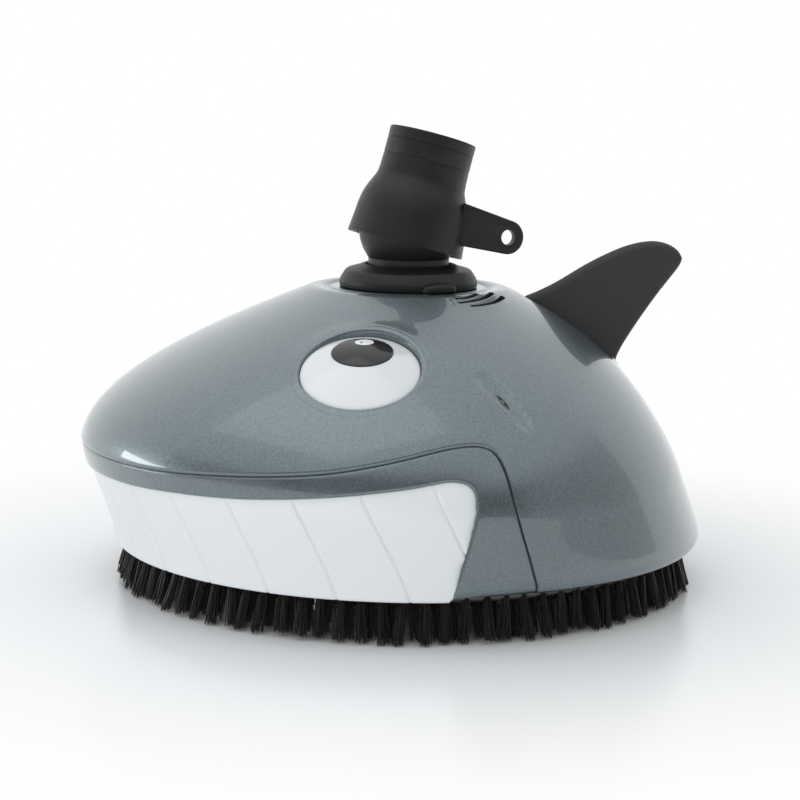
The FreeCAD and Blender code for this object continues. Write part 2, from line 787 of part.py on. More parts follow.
def gear_shape(teeth, module, face, bore, tooth_at):
    """An involute spur gear with one tooth centred on an angle in degrees."""
    size = measure(module)
    number = int(measure(teeth))
    pressure = math.radians(measure("pressure_angle"))
    pitch = number * size / 2
    tip = pitch + 0.8 * size
    root = pitch - 1.05 * size
    base = pitch * math.cos(pressure)
    lean = math.tan(pressure) - pressure
    half = (math.pi * size / 2 - measure("tooth_backlash")) / (2 * pitch)
    start = max(base, root)
    flank = []
    for step in range(5):
        radius = start + (tip - start) * step / 4
        slope = math.acos(min(base / radius, 1))
        flank.append((radius, half + lean - (math.tan(slope) - slope)))
    edges = []
    for tooth in range(number):
        centre = math.radians(tooth_at) + 2 * math.pi * tooth / number
        after = centre + 2 * math.pi / number
        rising = Part.BSplineCurve()
        rising.interpolate([polar(r, centre - a) for r, a in flank])
        falling = Part.BSplineCurve()
        falling.interpolate([polar(r, centre + a) for r, a in reversed(flank)])
        foot = flank[0][1]
        crest = flank[-1][1]
        if start > root:
            edges.append(Part.makeLine(polar(root, centre - foot), polar(start, centre - foot)))
        edges.append(rising.toShape())
        top = Part.Arc(polar(tip, centre - crest), polar(tip, centre), polar(tip, centre + crest))
        edges.append(top.toShape())
        edges.append(falling.toShape())
        if start > root:
            edges.append(Part.makeLine(polar(start, centre + foot), polar(root, centre + foot)))
        middle = (centre + after) / 2
        valley = Part.Arc(polar(root, centre + foot), polar(root, middle), polar(root, after - foot))
        edges.append(valley.toShape())
    blank = Part.Face(Part.Wire(edges)).extrude(FreeCAD.Vector(0, 0, measure(face)))
    hole = Part.makeCylinder(measure(bore), measure(face) + 2, FreeCAD.Vector(0, 0, -1))
    return blank.cut(hole)


def gear(name, shape, x, y, low):
    """A gear shape set on its axle at a height."""
    return placed(name, shape, upright(x, y, low))


AXLE_FIT = "axle_radius + running_gap"
heading = measure("gear_heading")
idler_heading = heading + measure(IDLER_TURN)
step_x = measure(f"{IDLER_X} - {WEIGHT_X}")
step_y = measure(f"{IDLER_Y} - {WEIGHT_Y}")
step_heading = math.degrees(math.atan2(step_y, step_x))


# ---------------------------------------------------------------- turbine

rim_gear = gear_shape("turbine_teeth", "turbine_module", "turbine_height", "turbine_shroud", heading)
blades = []
blade_zone = ring("blade_zone", "turbine_shroud + 0.8", "turbine_hub - 0.8", "turbine_low", TURBINE_TOP)
for step in range(int(measure("blade_count"))):
    blade = Part.makeBox(measure("turbine_shroud"), measure("blade_thickness"), measure("3 * turbine_height"),
                         FreeCAD.Vector(measure("turbine_hub / 2"), -measure("blade_thickness / 2"),
                                        -measure("1.5 * turbine_height")))
    blade.rotate(FreeCAD.Vector(), FreeCAD.Vector(1, 0, 0), 90 - measure("blade_pitch"))
    blade.translate(FreeCAD.Vector(0, 0, measure("turbine_low + turbine_height / 2")))
    blade.rotate(FreeCAD.Vector(), FreeCAD.Vector(0, 0, 1), 360 * step / measure("blade_count"))
    blades.append(formed(f"blade_{step}", blade))
blade_set = doc.addObject("Part::Compound", "blade_set")
blade_set.Links = blades
blade_ring = common("blade_ring", [blade_set, blade_zone])
wheel_hub = cylinder("wheel_hub", "turbine_hub", "turbine_low", TURBINE_TOP)
wheel_rim = gear("wheel_rim", rim_gear, "0", "0", "turbine_low")
wheel_blank = fuse("wheel_blank", [wheel_hub, blade_ring, wheel_rim])
wheel_bore = cylinder("wheel_bore", "shaft_radius + running_gap", "turbine_low - 1", f"{TURBINE_TOP} + 1")
keep("turbine_wheel", cut("turbine_wheel", wheel_blank, wheel_bore))
keep("turbine_shaft", cylinder("turbine_shaft", "shaft_radius", LOWER_SPIDER,
                               f"{UPPER_SPIDER} + spider_height"))


# ---------------------------------------------------------------- spinning weight

weight_phase = heading + 180 + 180 / measure("weight_teeth")
weight_wheel = gear_shape("weight_teeth", "turbine_module", "turbine_height", AXLE_FIT, weight_phase)
keep("weight_gear", gear("weight_gear", weight_wheel, WEIGHT_X, WEIGHT_Y, "turbine_low"))
pinion_phase = step_heading + 180 / measure("pinion_teeth")
weight_drive = gear_shape("pinion_teeth", "train_module", "train_face", AXLE_FIT, pinion_phase)
keep("weight_pinion", gear("weight_pinion", weight_drive, WEIGHT_X, WEIGHT_Y, "train_low"))
half_disc = doc.addObject("Part::Cylinder", "half_disc")
bind(half_disc, Radius="weight_radius", Height="weight_height", Angle="180", Placement__Base__x=WEIGHT_X,
     Placement__Base__y=WEIGHT_Y, Placement__Base__z="weight_low")
weight_hub = cylinder("weight_hub", "2 * axle_radius", "weight_low", "weight_low + weight_height",
                      WEIGHT_X, WEIGHT_Y)
weight_bore = cylinder("weight_bore", AXLE_FIT, "weight_low - 1", "weight_low + weight_height + 1",
                       WEIGHT_X, WEIGHT_Y)
keep("eccentric_weight", cut("eccentric_weight", fuse("weight_blank", [half_disc, weight_hub]), weight_bore))
keep("weight_axle", cylinder("weight_axle", "axle_radius", "axle_low", "gear_cover_low + socket_depth - 0.3",
                             WEIGHT_X, WEIGHT_Y))


# ---------------------------------------------------------------- idler

idler_phase = step_heading + 180
idler_wheel = gear_shape("idler_teeth", "train_module", "train_face", AXLE_FIT, idler_phase)
keep("idler_gear", gear("idler_gear", idler_wheel, IDLER_X, IDLER_Y, "train_low"))
swivel_phase = idler_heading + 180 + 180 / measure("pinion_teeth")
idler_drive = gear_shape("pinion_teeth", "train_module", "swivel_face", AXLE_FIT, swivel_phase)
keep("idler_pinion", gear("idler_pinion", idler_drive, IDLER_X, IDLER_Y, "swivel_low"))
PLATE_TOP = "(gear_plate_low + gear_plate_thickness)"
COVER_TOP = "(gear_cover_low + gear_cover_thickness)"
keep("idler_axle", cylinder("idler_axle", "axle_radius", f"{PLATE_TOP} - socket_depth + 0.3",
                            "gear_cover_low + socket_depth - 0.3", IDLER_X, IDLER_Y))


# ---------------------------------------------------------------- gear plates and their posts

def plate(name, low, high, bore, sockets, through):
    """A round plate with a middle bore, blind axle sockets and through holes."""
    tools = [cylinder(name + "_bore", bore, f"{low} - 1", f"{high} + 1")]
    for step, (x, y, from_z, to_z) in enumerate(sockets):
        tools.append(cylinder(f"{name}_socket_{step}", AXLE_FIT, from_z, to_z, x, y))
    for step, (x, y) in enumerate(through):
        tools.append(cylinder(f"{name}_hole_{step}", "screw_radius + running_gap", f"{low} - 1",
                              f"{high} + 1", x, y))
    holes = doc.addObject("Part::Compound", name + "_holes")
    holes.Links = tools
    return keep(name, cut(name, cylinder(name + "_blank", "plate_radius", low, high), holes))


plate("gear_plate", "gear_plate_low", PLATE_TOP, "outlet_bore + duct_wall + running_gap",
      [(WEIGHT_X, WEIGHT_Y, "gear_plate_low - 1", f"{PLATE_TOP} + 1"),
       (IDLER_X, IDLER_Y, f"{PLATE_TOP} - socket_depth", f"{PLATE_TOP} + 1")], PLATE_SPOTS)
plate("gear_cover", "gear_cover_low", COVER_TOP, "plate_bore",
      [(WEIGHT_X, WEIGHT_Y, "gear_cover_low - 1", "gear_cover_low + socket_depth"),
       (IDLER_X, IDLER_Y, "gear_cover_low - 1", "gear_cover_low + socket_depth")], PLATE_SPOTS)


def repeated(name, maker, spots):
    """Identical upright pieces at several spots as one node."""
    pieces = doc.addObject("Part::Compound", name)
    pieces.Links = [maker(f"{name}_{step}", x, y) for step, (x, y) in enumerate(spots)]
    return keep(name, pieces)


def post(name, x, y):
    stem = cylinder(name + "_stem", "screw_radius", PAN_LOW, f"{COVER_TOP} + nut_height", x, y)
    sleeve = cylinder(name + "_sleeve", "plate_post_radius", PAN_TOP, "gear_plate_low", x, y)
    return fuse(name, [stem, sleeve])


def spacer(name, x, y):
    return ring(name, "plate_post_radius", "screw_radius + running_gap", PLATE_TOP, "gear_cover_low", x, y)


def nut(name, x, y):
    prism = doc.addObject("Part::Prism", name + "_blank")
    prism.Polygon = 6
    bind(prism, Circumradius="nut_radius", Height="nut_height", Placement__Base__x=x, Placement__Base__y=y,
         Placement__Base__z=COVER_TOP)
    bore = cylinder(name + "_bore", "screw_radius + running_gap", f"{COVER_TOP} - 1",
                    f"{COVER_TOP} + nut_height + 1", x, y)
    return cut(name, prism, bore)


repeated("gear_posts", post, PLATE_SPOTS)
repeated("gear_spacers", spacer, PLATE_SPOTS)
repeated("gear_nuts", nut, PLATE_SPOTS)
keep("axle_post", ring("axle_post", "axle_post_radius", AXLE_FIT, PAN_TOP, "axle_post_top",
                       WEIGHT_X, WEIGHT_Y))


# ---------------------------------------------------------------- swivel neck with its ball

swivel_wheel = gear_shape("swivel_teeth", "train_module", "swivel_face", "neck_radius + running_gap",
                          idler_heading)
keep("swivel_gear", gear("swivel_gear", swivel_wheel, "0", "0", "swivel_low"))
neck_tube = cylinder("neck_tube", "neck_radius", "neck_low", "neck_flange_low + 1")
neck_flange = cylinder("neck_flange", "neck_flange", "neck_flange_low",
                       "neck_flange_low + neck_flange_height")
neck_groove = cylinder("neck_groove", "groove_radius", "neck_flange_low", "ball_height - ball_radius / 2")
neck_ball = sphere("neck_ball", "ball_radius", "ball_height")
neck_blank = fuse("neck_blank", [neck_tube, neck_flange, neck_groove, neck_ball])
neck_tools = [cylinder("neck_wide_bore", "outlet_bore", "neck_low - 1", "throat_low"),
              cone("neck_throat", "outlet_bore", "neck_bore", "throat_low", "throat_high"),
              cylinder("neck_bore", "neck_bore", "throat_high", "ball_height + ball_radius"),
              cylinder("ball_trim", "ball_radius + 1", "ball_height + ball_crown",
                       "ball_height + ball_radius + 1")]
keep("ball_neck", cut("ball_neck", neck_blank, fuse("neck_cutters", neck_tools)))
keep("neck_clip", ring("neck_clip", "neck_clip_radius", "neck_radius + running_gap",
                       "bearing_low - part_gap - neck_clip_height", "bearing_low - part_gap"))
keep("neck_bearing", ring("neck_bearing", "bearing_radius", "neck_radius + running_gap", "bearing_low",
                          "boss_top"))


# ---------------------------------------------------------------- lock ring

lock_turned = turned("lock_turned", [
    ("lock_bore", "lock_low"),
    ("lock_radius", "lock_low"),
    ("lock_radius", "lock_edge"),
    ("lock_shoulder", "lock_shoulder_z"),
    ("lock_lip", "lock_top"),
    ("lock_lip", "lock_lip_low"),
    ("lock_bore", "lock_lip_low"),
])
lock_tab_turn = FreeCAD.Rotation(FreeCAD.Vector(0, 0, 1), measure("tab_heading - 90"))
tab_corner = lock_tab_turn.multVec(FreeCAD.Vector(measure("lock_bore + 1"), -measure("tab_length / 2"),
                                                  measure("lock_low")))
lock_tab = Part.makeBox(measure("tab_reach - lock_bore - 1"), measure("tab_length"), measure("tab_height"))
lock_tab_piece = formed("lock_tab_piece", lock_tab)
lock_tab_piece.Placement = FreeCAD.Placement(tab_corner, lock_tab_turn)
keep("lock_ring", fuse("lock_ring", [lock_turned, lock_tab_piece]))


# ---------------------------------------------------------------- hose hood on the ball

UP = FreeCAD.Vector(0, 0, 1)
hood_turn = FreeCAD.Rotation(UP, measure("hood_heading"))
hood_turn = hood_turn * FreeCAD.Rotation(FreeCAD.Vector(1, 0, 0), -measure("hood_lean"))
hood_turn = hood_turn * FreeCAD.Rotation(UP, measure("hood_spin"))
HOOD = FreeCAD.Placement(FreeCAD.Vector(0, 0, measure("ball_height")), hood_turn)

hood_outside = turned("hood_outside", [
    ("0", "skirt_low"),
    ("skirt_radius", "skirt_low"),
    ("hood_radius", "skirt_low + skirt_height"),
    ("hood_radius", "hood_shoulder"),
    ("hood_brow", "hood_brow_height"),
    ("cuff_radius", "cuff_low"),
    ("cuff_radius", "cuff_top"),
    ("0", "cuff_top"),
])


def lug_shape():
    """The flat tether lug that stands out of the hood's side, with its hole."""
    reach = measure("lug_reach")
    round_radius = measure("lug_radius")
    middle = measure("lug_centre")
    root = measure("lug_root")
    upper = FreeCAD.Vector(0, reach, middle + round_radius)
    lower = FreeCAD.Vector(0, reach, middle - round_radius)
    upper_root = FreeCAD.Vector(0, root, measure("lug_root_high"))
    lower_root = FreeCAD.Vector(0, root, measure("lug_root_low"))
    tip = Part.Arc(upper, FreeCAD.Vector(0, reach + round_radius, middle), lower).toShape()
    edges = [Part.makeLine(upper_root, upper), tip, Part.makeLine(lower, lower_root),
             Part.makeLine(lower_root, upper_root)]
    face = Part.Face(Part.Wire(edges))
    face.translate(FreeCAD.Vector(-measure("lug_thickness / 2"), 0, 0))
    blank = face.extrude(FreeCAD.Vector(measure("lug_thickness"), 0, 0))
    hole = Part.makeCylinder(measure("lug_hole"), measure("lug_thickness + 2"),
                             FreeCAD.Vector(-measure("lug_thickness / 2 + 1"), reach, middle),
                             FreeCAD.Vector(1, 0, 0))
    lug = blank.cut(hole)
    lug.rotate(FreeCAD.Vector(0, reach, 0), UP, measure("lug_twist"))
    return lug


hood_blank = fuse("hood_blank", [hood_outside, formed("hood_lug", lug_shape())])
hood_tools = [cylinder("hood_skirt_bore", "seat_radius + running_gap", "skirt_low - 1", "seat_high"),
              sphere("hood_dome", "hood_cavity"),
              cylinder("hood_cuff_bore", "cuff_bore", "hose_stop", "cuff_top + 1"),
              cylinder("hood_way", "hose_way", "0", "hose_stop + 1"),
              cylinder("hood_clip_groove", "clip_outer + running_gap", "clip_low - 0.1",
                       "clip_low + clip_height + 0.1")]
hose_hood = keep("hose_hood", cut("hose_hood", hood_blank, fuse("hood_cutters", hood_tools)))
hose_hood.Placement = HOOD
seat_blank = cylinder("seat_blank", "seat_radius", "seat_low", "seat_high")
seat_cup = sphere("seat_cup", "ball_radius + seat_clearance")
seat_ring = keep("seat_ring", cut("seat_ring", seat_blank, seat_cup))
seat_ring.Placement = HOOD
hood_clip = ring("hood_clip", "clip_outer", "clip_inner", "clip_low", "clip_low + clip_height")
keep("hood_clip", hood_clip)
hood_clip.Placement = HOOD


# ---------------------------------------------------------------- checks and files

doc.recompute()
for thing in doc.Objects:
    if "Invalid" in thing.State or "Error" in thing.State:
        raise RuntimeError(f"{thing.Name} did not build: {thing.State}")
for node, piece in NODES.items():
    if piece.Shape.isNull() or not piece.Shape.isValid() or not piece.Shape.Solids:
        raise RuntimeError(f"{node} has no valid solid")

os.makedirs("parts", exist_ok=True)
for node, piece in NODES.items():
    piece.Shape.exportStep(os.path.join("parts", node + ".step"))
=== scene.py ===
import bpy
import numpy as np
from mathutils import Matrix, Vector


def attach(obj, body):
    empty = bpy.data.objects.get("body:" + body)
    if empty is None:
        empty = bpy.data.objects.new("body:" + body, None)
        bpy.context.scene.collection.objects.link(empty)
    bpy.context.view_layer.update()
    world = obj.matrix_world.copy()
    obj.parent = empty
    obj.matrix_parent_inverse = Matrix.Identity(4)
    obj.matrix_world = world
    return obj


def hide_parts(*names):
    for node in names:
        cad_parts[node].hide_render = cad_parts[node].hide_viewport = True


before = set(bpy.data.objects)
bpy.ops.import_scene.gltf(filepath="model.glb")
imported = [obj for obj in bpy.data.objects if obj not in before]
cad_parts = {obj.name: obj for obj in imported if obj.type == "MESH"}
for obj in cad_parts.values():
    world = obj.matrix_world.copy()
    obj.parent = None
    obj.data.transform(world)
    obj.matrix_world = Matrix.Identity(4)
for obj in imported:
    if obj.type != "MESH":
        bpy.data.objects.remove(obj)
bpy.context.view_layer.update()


# ---------------------------------------------------------------- floor, light and camera
# A pale floor that runs to white a little way out, three soft lamps and a sky of plain studio walls.
# The camera stands a little above the shark's left eye.

def node_material(name, base, roughness, metallic=0.0, coat=0.0, specular=0.5):
    """A material with its constants on the shader's own sockets; returns it with its tree and shader."""
    material = bpy.data.materials.new(name)
    material.use_nodes = True
    tree = material.node_tree
    shader = tree.nodes["Principled BSDF"]
    shader.inputs["Base Color"].default_value = (*base, 1.0)
    shader.inputs["Roughness"].default_value = roughness
    shader.inputs["Metallic"].default_value = metallic
    shader.inputs["Coat Weight"].default_value = coat
    shader.inputs["Coat Roughness"].default_value = 0.03
    shader.inputs["Specular IOR Level"].default_value = specular
    return material, tree, shader


floor_material, tree, shader = node_material("pale_floor", (0.86, 0.87, 0.88), 0.22, specular=0.35)
light_path = tree.nodes.new("ShaderNodeLightPath")
white = tree.nodes.new("ShaderNodeEmission")
white.inputs["Color"].default_value = (1.0, 1.0, 1.0, 1.0)
far = tree.nodes.new("ShaderNodeTexCoord")
distance = tree.nodes.new("ShaderNodeVectorMath")
distance.operation = "LENGTH"
fade = tree.nodes.new("ShaderNodeMapRange")
fade.interpolation_type = "SMOOTHSTEP"
fade.inputs["From Min"].default_value = 0.16
fade.inputs["From Max"].default_value = 0.40
shown = tree.nodes.new("ShaderNodeMath")
shown.operation = "ADD"
shown_too = tree.nodes.new("ShaderNodeMath")
shown_too.operation = "ADD"
shown_too.use_clamp = True
seen = tree.nodes.new("ShaderNodeMath")
seen.operation = "MULTIPLY"
blend = tree.nodes.new("ShaderNodeMixShader")
tree.links.new(far.outputs["Object"], distance.inputs[0])
tree.links.new(distance.outputs["Value"], fade.inputs["Value"])
tree.links.new(fade.outputs["Result"], seen.inputs[0])
tree.links.new(light_path.outputs["Is Camera Ray"], shown.inputs[0])
tree.links.new(light_path.outputs["Is Glossy Ray"], shown.inputs[1])
tree.links.new(shown.outputs["Value"], shown_too.inputs[0])
tree.links.new(light_path.outputs["Is Transmission Ray"], shown_too.inputs[1])
tree.links.new(shown_too.outputs["Value"], seen.inputs[1])
tree.links.new(seen.outputs["Value"], blend.inputs["Fac"])
tree.links.new(shader.outputs["BSDF"], blend.inputs[1])
tree.links.new(white.outputs["Emission"], blend.inputs[2])
tree.links.new(blend.outputs["Shader"], tree.nodes["Material Output"].inputs["Surface"])

floor_mesh = bpy.data.meshes.new("floor")
floor_mesh.from_pydata([(-6, -6, 0), (6, -6, 0), (6, 6, 0), (-6, 6, 0)], [], [(0, 1, 2, 3)])
floor_mesh.materials.append(floor_material)
floor = bpy.data.objects.new("floor", floor_mesh)
bpy.context.scene.collection.objects.link(floor)

world = bpy.data.worlds.new("sky")
bpy.context.scene.world = world
world.use_nodes = True
sky_tree = world.node_tree
sky = sky_tree.nodes["Background"]
sky.inputs["Strength"].default_value = 1.0
aim = sky_tree.nodes.new("ShaderNodeTexCoord")
aim_parts = sky_tree.nodes.new("ShaderNodeSeparateXYZ")
sky_tree.links.new(aim.outputs["Generated"], aim_parts.inputs[0])


def wall(axis, start, end, level):
    """A wall of the studio: a level that comes in between two values of one part of the direction."""
    step = sky_tree.nodes.new("ShaderNodeMapRange")
    step.interpolation_type = "SMOOTHSTEP"
    step.inputs["From Min"].default_value = start
    step.inputs["From Max"].default_value = end
    step.inputs["To Max"].default_value = level
    sky_tree.links.new(aim_parts.outputs[axis], step.inputs["Value"])
    return step.outputs["Result"]


def join(operation, first, second):
    """A math node on two levels, each a number or a socket; returns its result."""
    node = sky_tree.nodes.new("ShaderNodeMath")
    node.operation = operation
    for socket, value in zip(node.inputs, (first, second)):
        if isinstance(value, float):
            socket.default_value = value
        else:
            sky_tree.links.new(value, socket)
    return node.outputs[0]


sides = join("MAXIMUM", wall("Y", 0.66, 0.72, 0.50), wall("Y", -0.70, -0.80, 0.42))
sides = join("MAXIMUM", sides, wall("X", -0.12, -0.22, 0.95))
sides = join("MAXIMUM", sides, 0.13)
above = join("MAXIMUM", sides, wall("Z", 0.30, 0.62, 0.92))
tone = sky_tree.nodes.new("ShaderNodeCombineXYZ")
sky_tree.links.new(join("MULTIPLY", above, 0.97), tone.inputs["X"])
sky_tree.links.new(join("MULTIPLY", above, 0.99), tone.inputs["Y"])
sky_tree.links.new(above, tone.inputs["Z"])
sky_tree.links.new(tone.outputs[0], sky.inputs["Color"])
white_sky = sky_tree.nodes.new("ShaderNodeBackground")
white_sky.inputs["Color"].default_value = (1.0, 1.0, 1.0, 1.0)
sky_path = sky_tree.nodes.new("ShaderNodeLightPath")
sky_mix = sky_tree.nodes.new("ShaderNodeMixShader")
sky_tree.links.new(sky_path.outputs["Is Camera Ray"], sky_mix.inputs["Fac"])
sky_tree.links.new(sky.outputs["Background"], sky_mix.inputs[1])
sky_tree.links.new(white_sky.outputs["Background"], sky_mix.inputs[2])
sky_tree.links.new(sky_mix.outputs["Shader"], sky_tree.nodes["World Output"].inputs["Surface"])


def soft_box(name, place, aim, width, height, power, mirrored=True):
    """A rectangular lamp that faces a point; it can be left out of mirror images."""
    lamp = bpy.data.lights.new(name, "AREA")
    lamp.shape = "RECTANGLE"
    lamp.size = width
    lamp.size_y = height
    lamp.energy = power
    box = bpy.data.objects.new(name, lamp)
    box.location = place
    box.rotation_euler = (Vector(aim) - Vector(place)).to_track_quat("-Z", "Y").to_euler()
    box.visible_glossy = mirrored
    bpy.context.scene.collection.objects.link(box)
    return box


soft_box("top_box", (0.10, -0.25, 1.20), (0.0, 0.0, 0.08), 1.1, 0.9, 1.5)
soft_box("side_fill", (1.25, -0.75, 0.42), (0.0, 0.0, 0.08), 1.0, 0.9, 6.6, mirrored=False)
soft_box("nose_box", (-0.31, -1.16, 0.27), (0.06, -0.14, 0.08), 0.55, 0.13, 1.3)

camera_data = bpy.data.cameras.new("camera")
camera_data.lens = 100.0
camera_data.sensor_width = 36.0
camera = bpy.data.objects.new("camera", camera_data)
camera_side = Vector((0.20252503, 0.97914541, 0.01605835))
camera_up = Vector((-0.16003905, 0.01691564, 0.98696574))
camera_back = camera_side.cross(camera_up)
camera_turn = Matrix((camera_side, camera_up, camera_back)).transposed().to_4x4()
camera.matrix_world = Matrix.Translation((1.10104, -0.234033, 0.272825)) @ camera_turn
bpy.context.scene.collection.objects.link(camera)
bpy.context.scene.camera = camera
bpy.context.scene.view_settings.view_transform = "Standard"


# ---------------------------------------------------------------- upper shell
# The shark's body: one thin moulding in metallic grey-blue lacquer under a clear coat. It has a lip band
# below a crease, eye sockets, finger scoops, vent slots, a fin trough and a raised ring round the neck.

def body_radius(z):
    """Slice radius: constant up to 58 mm, then 152.3 (1 - t^2)^0.908 with t the rise over 108.6 mm."""
    rise = np.clip(z - 58.0, 0.0, 108.0) / 108.6
    return 152.3 * (1.0 - rise ** 2) ** 0.908


def body_shift(z):
    """How far a slice's centre lies towards the nose: 16.96 sin(pi (z - 20) / 130)^1.57."""
    return 16.96 * np.sin(np.pi * np.clip((z - 20.0) / 130.0, 0.0, 1.0)) ** 1.57


def body_point(phi, z):
    """Point of the body at an angle from the nose, towards +X, in the slice at height z."""
    radius = body_radius(z)
    return np.stack([radius * np.sin(phi), -body_shift(z) - radius * np.cos(phi), z + 0.0 * phi], -1)


def body_normal(phi, z):
    """Outward unit normal: the gradient of the distance to the slice's centre less the slice's radius."""
    step = 0.05
    slope = (body_radius(z + step) - body_radius(z - step)) / (2 * step)
    drift = (body_shift(z + step) - body_shift(z - step)) / (2 * step)
    normal = np.stack([np.sin(phi), -np.cos(phi), -slope - drift * np.cos(phi)], -1)
    return normal / np.linalg.norm(normal, axis=-1, keepdims=True)


def grid_faces(rows, columns, closed=False, first=0):
    """Quads between neighbouring rows and columns; closed joins the last column to the first."""
    wide = columns if closed else columns - 1
    i, j = np.meshgrid(np.arange(rows - 1), np.arange(wide), indexing="ij")
    k = (j + 1) % columns
    quads = np.stack([i * columns + j, i * columns + k, (i + 1) * columns + k, (i + 1) * columns + j], -1)
    return quads.reshape(-1, 4) + first


def make_piece(name, points, faces, material, body, nodes=(), smooth=True):
    """A mesh object from points in millimetres, riding on a body and standing for its CAD nodes."""
    mesh = bpy.data.meshes.new(name)
    in_metres = np.asarray(points).reshape(-1, 3) * 0.001
    mesh.from_pydata(in_metres.tolist(), [], [tuple(face) for face in faces])
    mesh.materials.append(material)
    mesh.validate()
    mesh.polygons.foreach_set("use_smooth", np.full(len(mesh.polygons), smooth))
    mesh.update()
    made = bpy.data.objects.new(name, mesh)
    bpy.context.scene.collection.objects.link(made)
    if nodes:
        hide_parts(*nodes)
    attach(made, body)
    return made


def through(knots, count):
    """Catmull-Rom curve through rows of knots, sampled evenly in knot number."""
    knots = np.asarray(knots, float)
    padded = np.vstack([2 * knots[0] - knots[1], knots, 2 * knots[-1] - knots[-2]])
    u = np.linspace(0, len(knots) - 1, count)
    i = np.minimum(u.astype(int), len(knots) - 2)
    f = (u - i)[:, None]
    a, b, c, d = padded[i], padded[i + 1], padded[i + 2], padded[i + 3]
    return 0.5 * (2 * b + (c - a) * f + (2 * a - 5 * b + 4 * c - d) * f ** 2
                  + (3 * b - a - 3 * c + d) * f ** 3)


def evenly(table, lengths, count):
    """Rows of a dense table at equal steps of a running length."""
    wanted = np.linspace(0, lengths[-1], count)
    return np.stack([np.interp(wanted, lengths, column) for column in table.T], -1)


def smooth_step(x, low, high):
    """0 below the first value, 1 past the second, with a soft start and end; the values may run down."""
    t = np.clip((x - low) / (high - low), 0, 1)
    return t * t * (3 - 2 * t)


# Crease and lip edge, nose to jaw foot: slice angle and height of the crease, the same of the lip edge,
# and the angle at the crown where that column of the mesh ends.
MOUTH = np.array([
    (0.0, 72.3, 0.0, 59.9, 0.0), (14.3, 72.6, 13.1, 61.2, 14.0), (28.9, 73.2, 26.3, 62.1, 28.5),
    (38.9, 74.1, 37.3, 63.5, 38.0), (50.9, 76.0, 50.9, 65.3, 50.0), (61.2, 77.9, 59.6, 67.1, 60.0),
    (70.9, 80.5, 70.8, 70.1, 69.0), (78.9, 84.0, 78.5, 72.6, 76.5), (85.5, 87.3, 85.3, 74.9, 82.5),
    (89.7, 89.5, 89.2, 76.6, 86.5), (93.9, 91.2, 92.2, 77.7, 90.5), (97.9, 91.7, 94.4, 77.3, 95.0),
    (100.9, 90.3, 95.9, 75.8, 98.5), (102.5, 86.4, 96.7, 72.6, 101.5), (103.3, 78.0, 96.4, 66.6, 105.5),
    (103.1, 65.2, 95.2, 59.0, 110.0), (102.6, 45.3, 92.2, 46.5, 117.0), (102.3, 34.0, 89.6, 36.5, 121.5),
    (102.3, 27.5, 87.8, 28.0, 123.5), (102.3, 23.3, 86.8, 23.3, 124.7)])
RIM = 23.3
CROWN = 148.5

heights = np.linspace(19.0, CROWN, 2600)
run = np.concatenate([[0], np.cumsum(np.hypot(np.diff(heights), np.diff(body_radius(heights))))])


def along_side(z):
    """Length along the body's side from its foot up to a height."""
    return np.interp(z, heights, run)


def height_at(length):
    """The height that a length along the side reaches."""
    return np.interp(length, run, heights)


mouth = through(MOUTH, 3000)
crease = body_point(np.radians(mouth[:, 0]), mouth[:, 1])
walked = np.concatenate([[0], np.cumsum(np.linalg.norm(np.diff(crease, axis=0), axis=1))])
mouth = evenly(mouth, walked, 186)
back = np.linspace(0, 1, 86)[1:, None]
rear = np.hstack([102.3 + 77.7 * back, RIM + 0 * back, 0 * back, 0 * back, 124.7 + 55.3 * back])
half = np.vstack([mouth, rear])
side = np.concatenate([np.ones(len(half)), -np.ones(len(half) - 2)])
columns = np.vstack([half, half[-2:0:-1]])
in_mouth = np.concatenate([np.ones(len(mouth)), np.zeros(len(rear))])
in_mouth = np.concatenate([in_mouth, in_mouth[-2:0:-1]])

near = np.array([0, 0.2, 0.45, 0.8, 1.3, 2.0, 3.0, 4.4])
weights = np.concatenate([np.full(70, 1.0), np.full(30, 0.28)])
rest = np.cumsum(weights) / weights.sum()
low_run = along_side(columns[:, 1])
high_run = along_side(CROWN)
span = high_run - low_run
t = np.vstack([near[:, None] / span, (near[-1] / span) + (1 - near[-1] / span) * rest[:, None]])
phi = np.radians((1 - t) * columns[:, 0] + t * columns[:, 4]) * side
z = height_at(low_run + t * span)
shell_points = body_point(phi, z)
shell_normals = body_normal(phi, z)
from_edge = t * span

EYE = np.array([96.6, -42.85, 120.9])
EYE_OUT = np.array([0.4559, -0.1508, 0.8771])
EYE_OUT = EYE_OUT / np.linalg.norm(EYE_OUT)
EYE_UP = np.array([-0.7872, 0.2603, 0.5592])
EYE_UP = EYE_UP - EYE_OUT * (EYE_UP @ EYE_OUT)
EYE_UP = EYE_UP / np.linalg.norm(EYE_UP)
EYE_SIDE = np.cross(EYE_UP, EYE_OUT)
SCOOP = np.array([116.3, 22.3, 107.4])
SCOOP_ALONG = np.array([0.565, 0.540, -0.6225])
SCOOP_OUT = np.array([0.6046, 0.1976, 0.7716])
SCOOP_ACROSS = np.cross(SCOOP_OUT, SCOOP_ALONG)
SCOOP_ACROSS = SCOOP_ACROSS / np.linalg.norm(SCOOP_ACROSS)
# Each vent's reach from the neck axis and its heading, at its front end and at its rear end
VENTS = [(59.4, 109.5, 54.6, 137.4), (56.2, 104.6, 50.0, 134.0), (52.6, 104.6, 49.0, 121.5)]


def rim_tuck(z):
    """The rounded under edge: a quarter circle of 5.7 mm that ends at the rim."""
    drop = np.clip(RIM + 5.7 - z, 0, 5.7)
    return 5.7 - np.sqrt(5.7 ** 2 - drop ** 2)


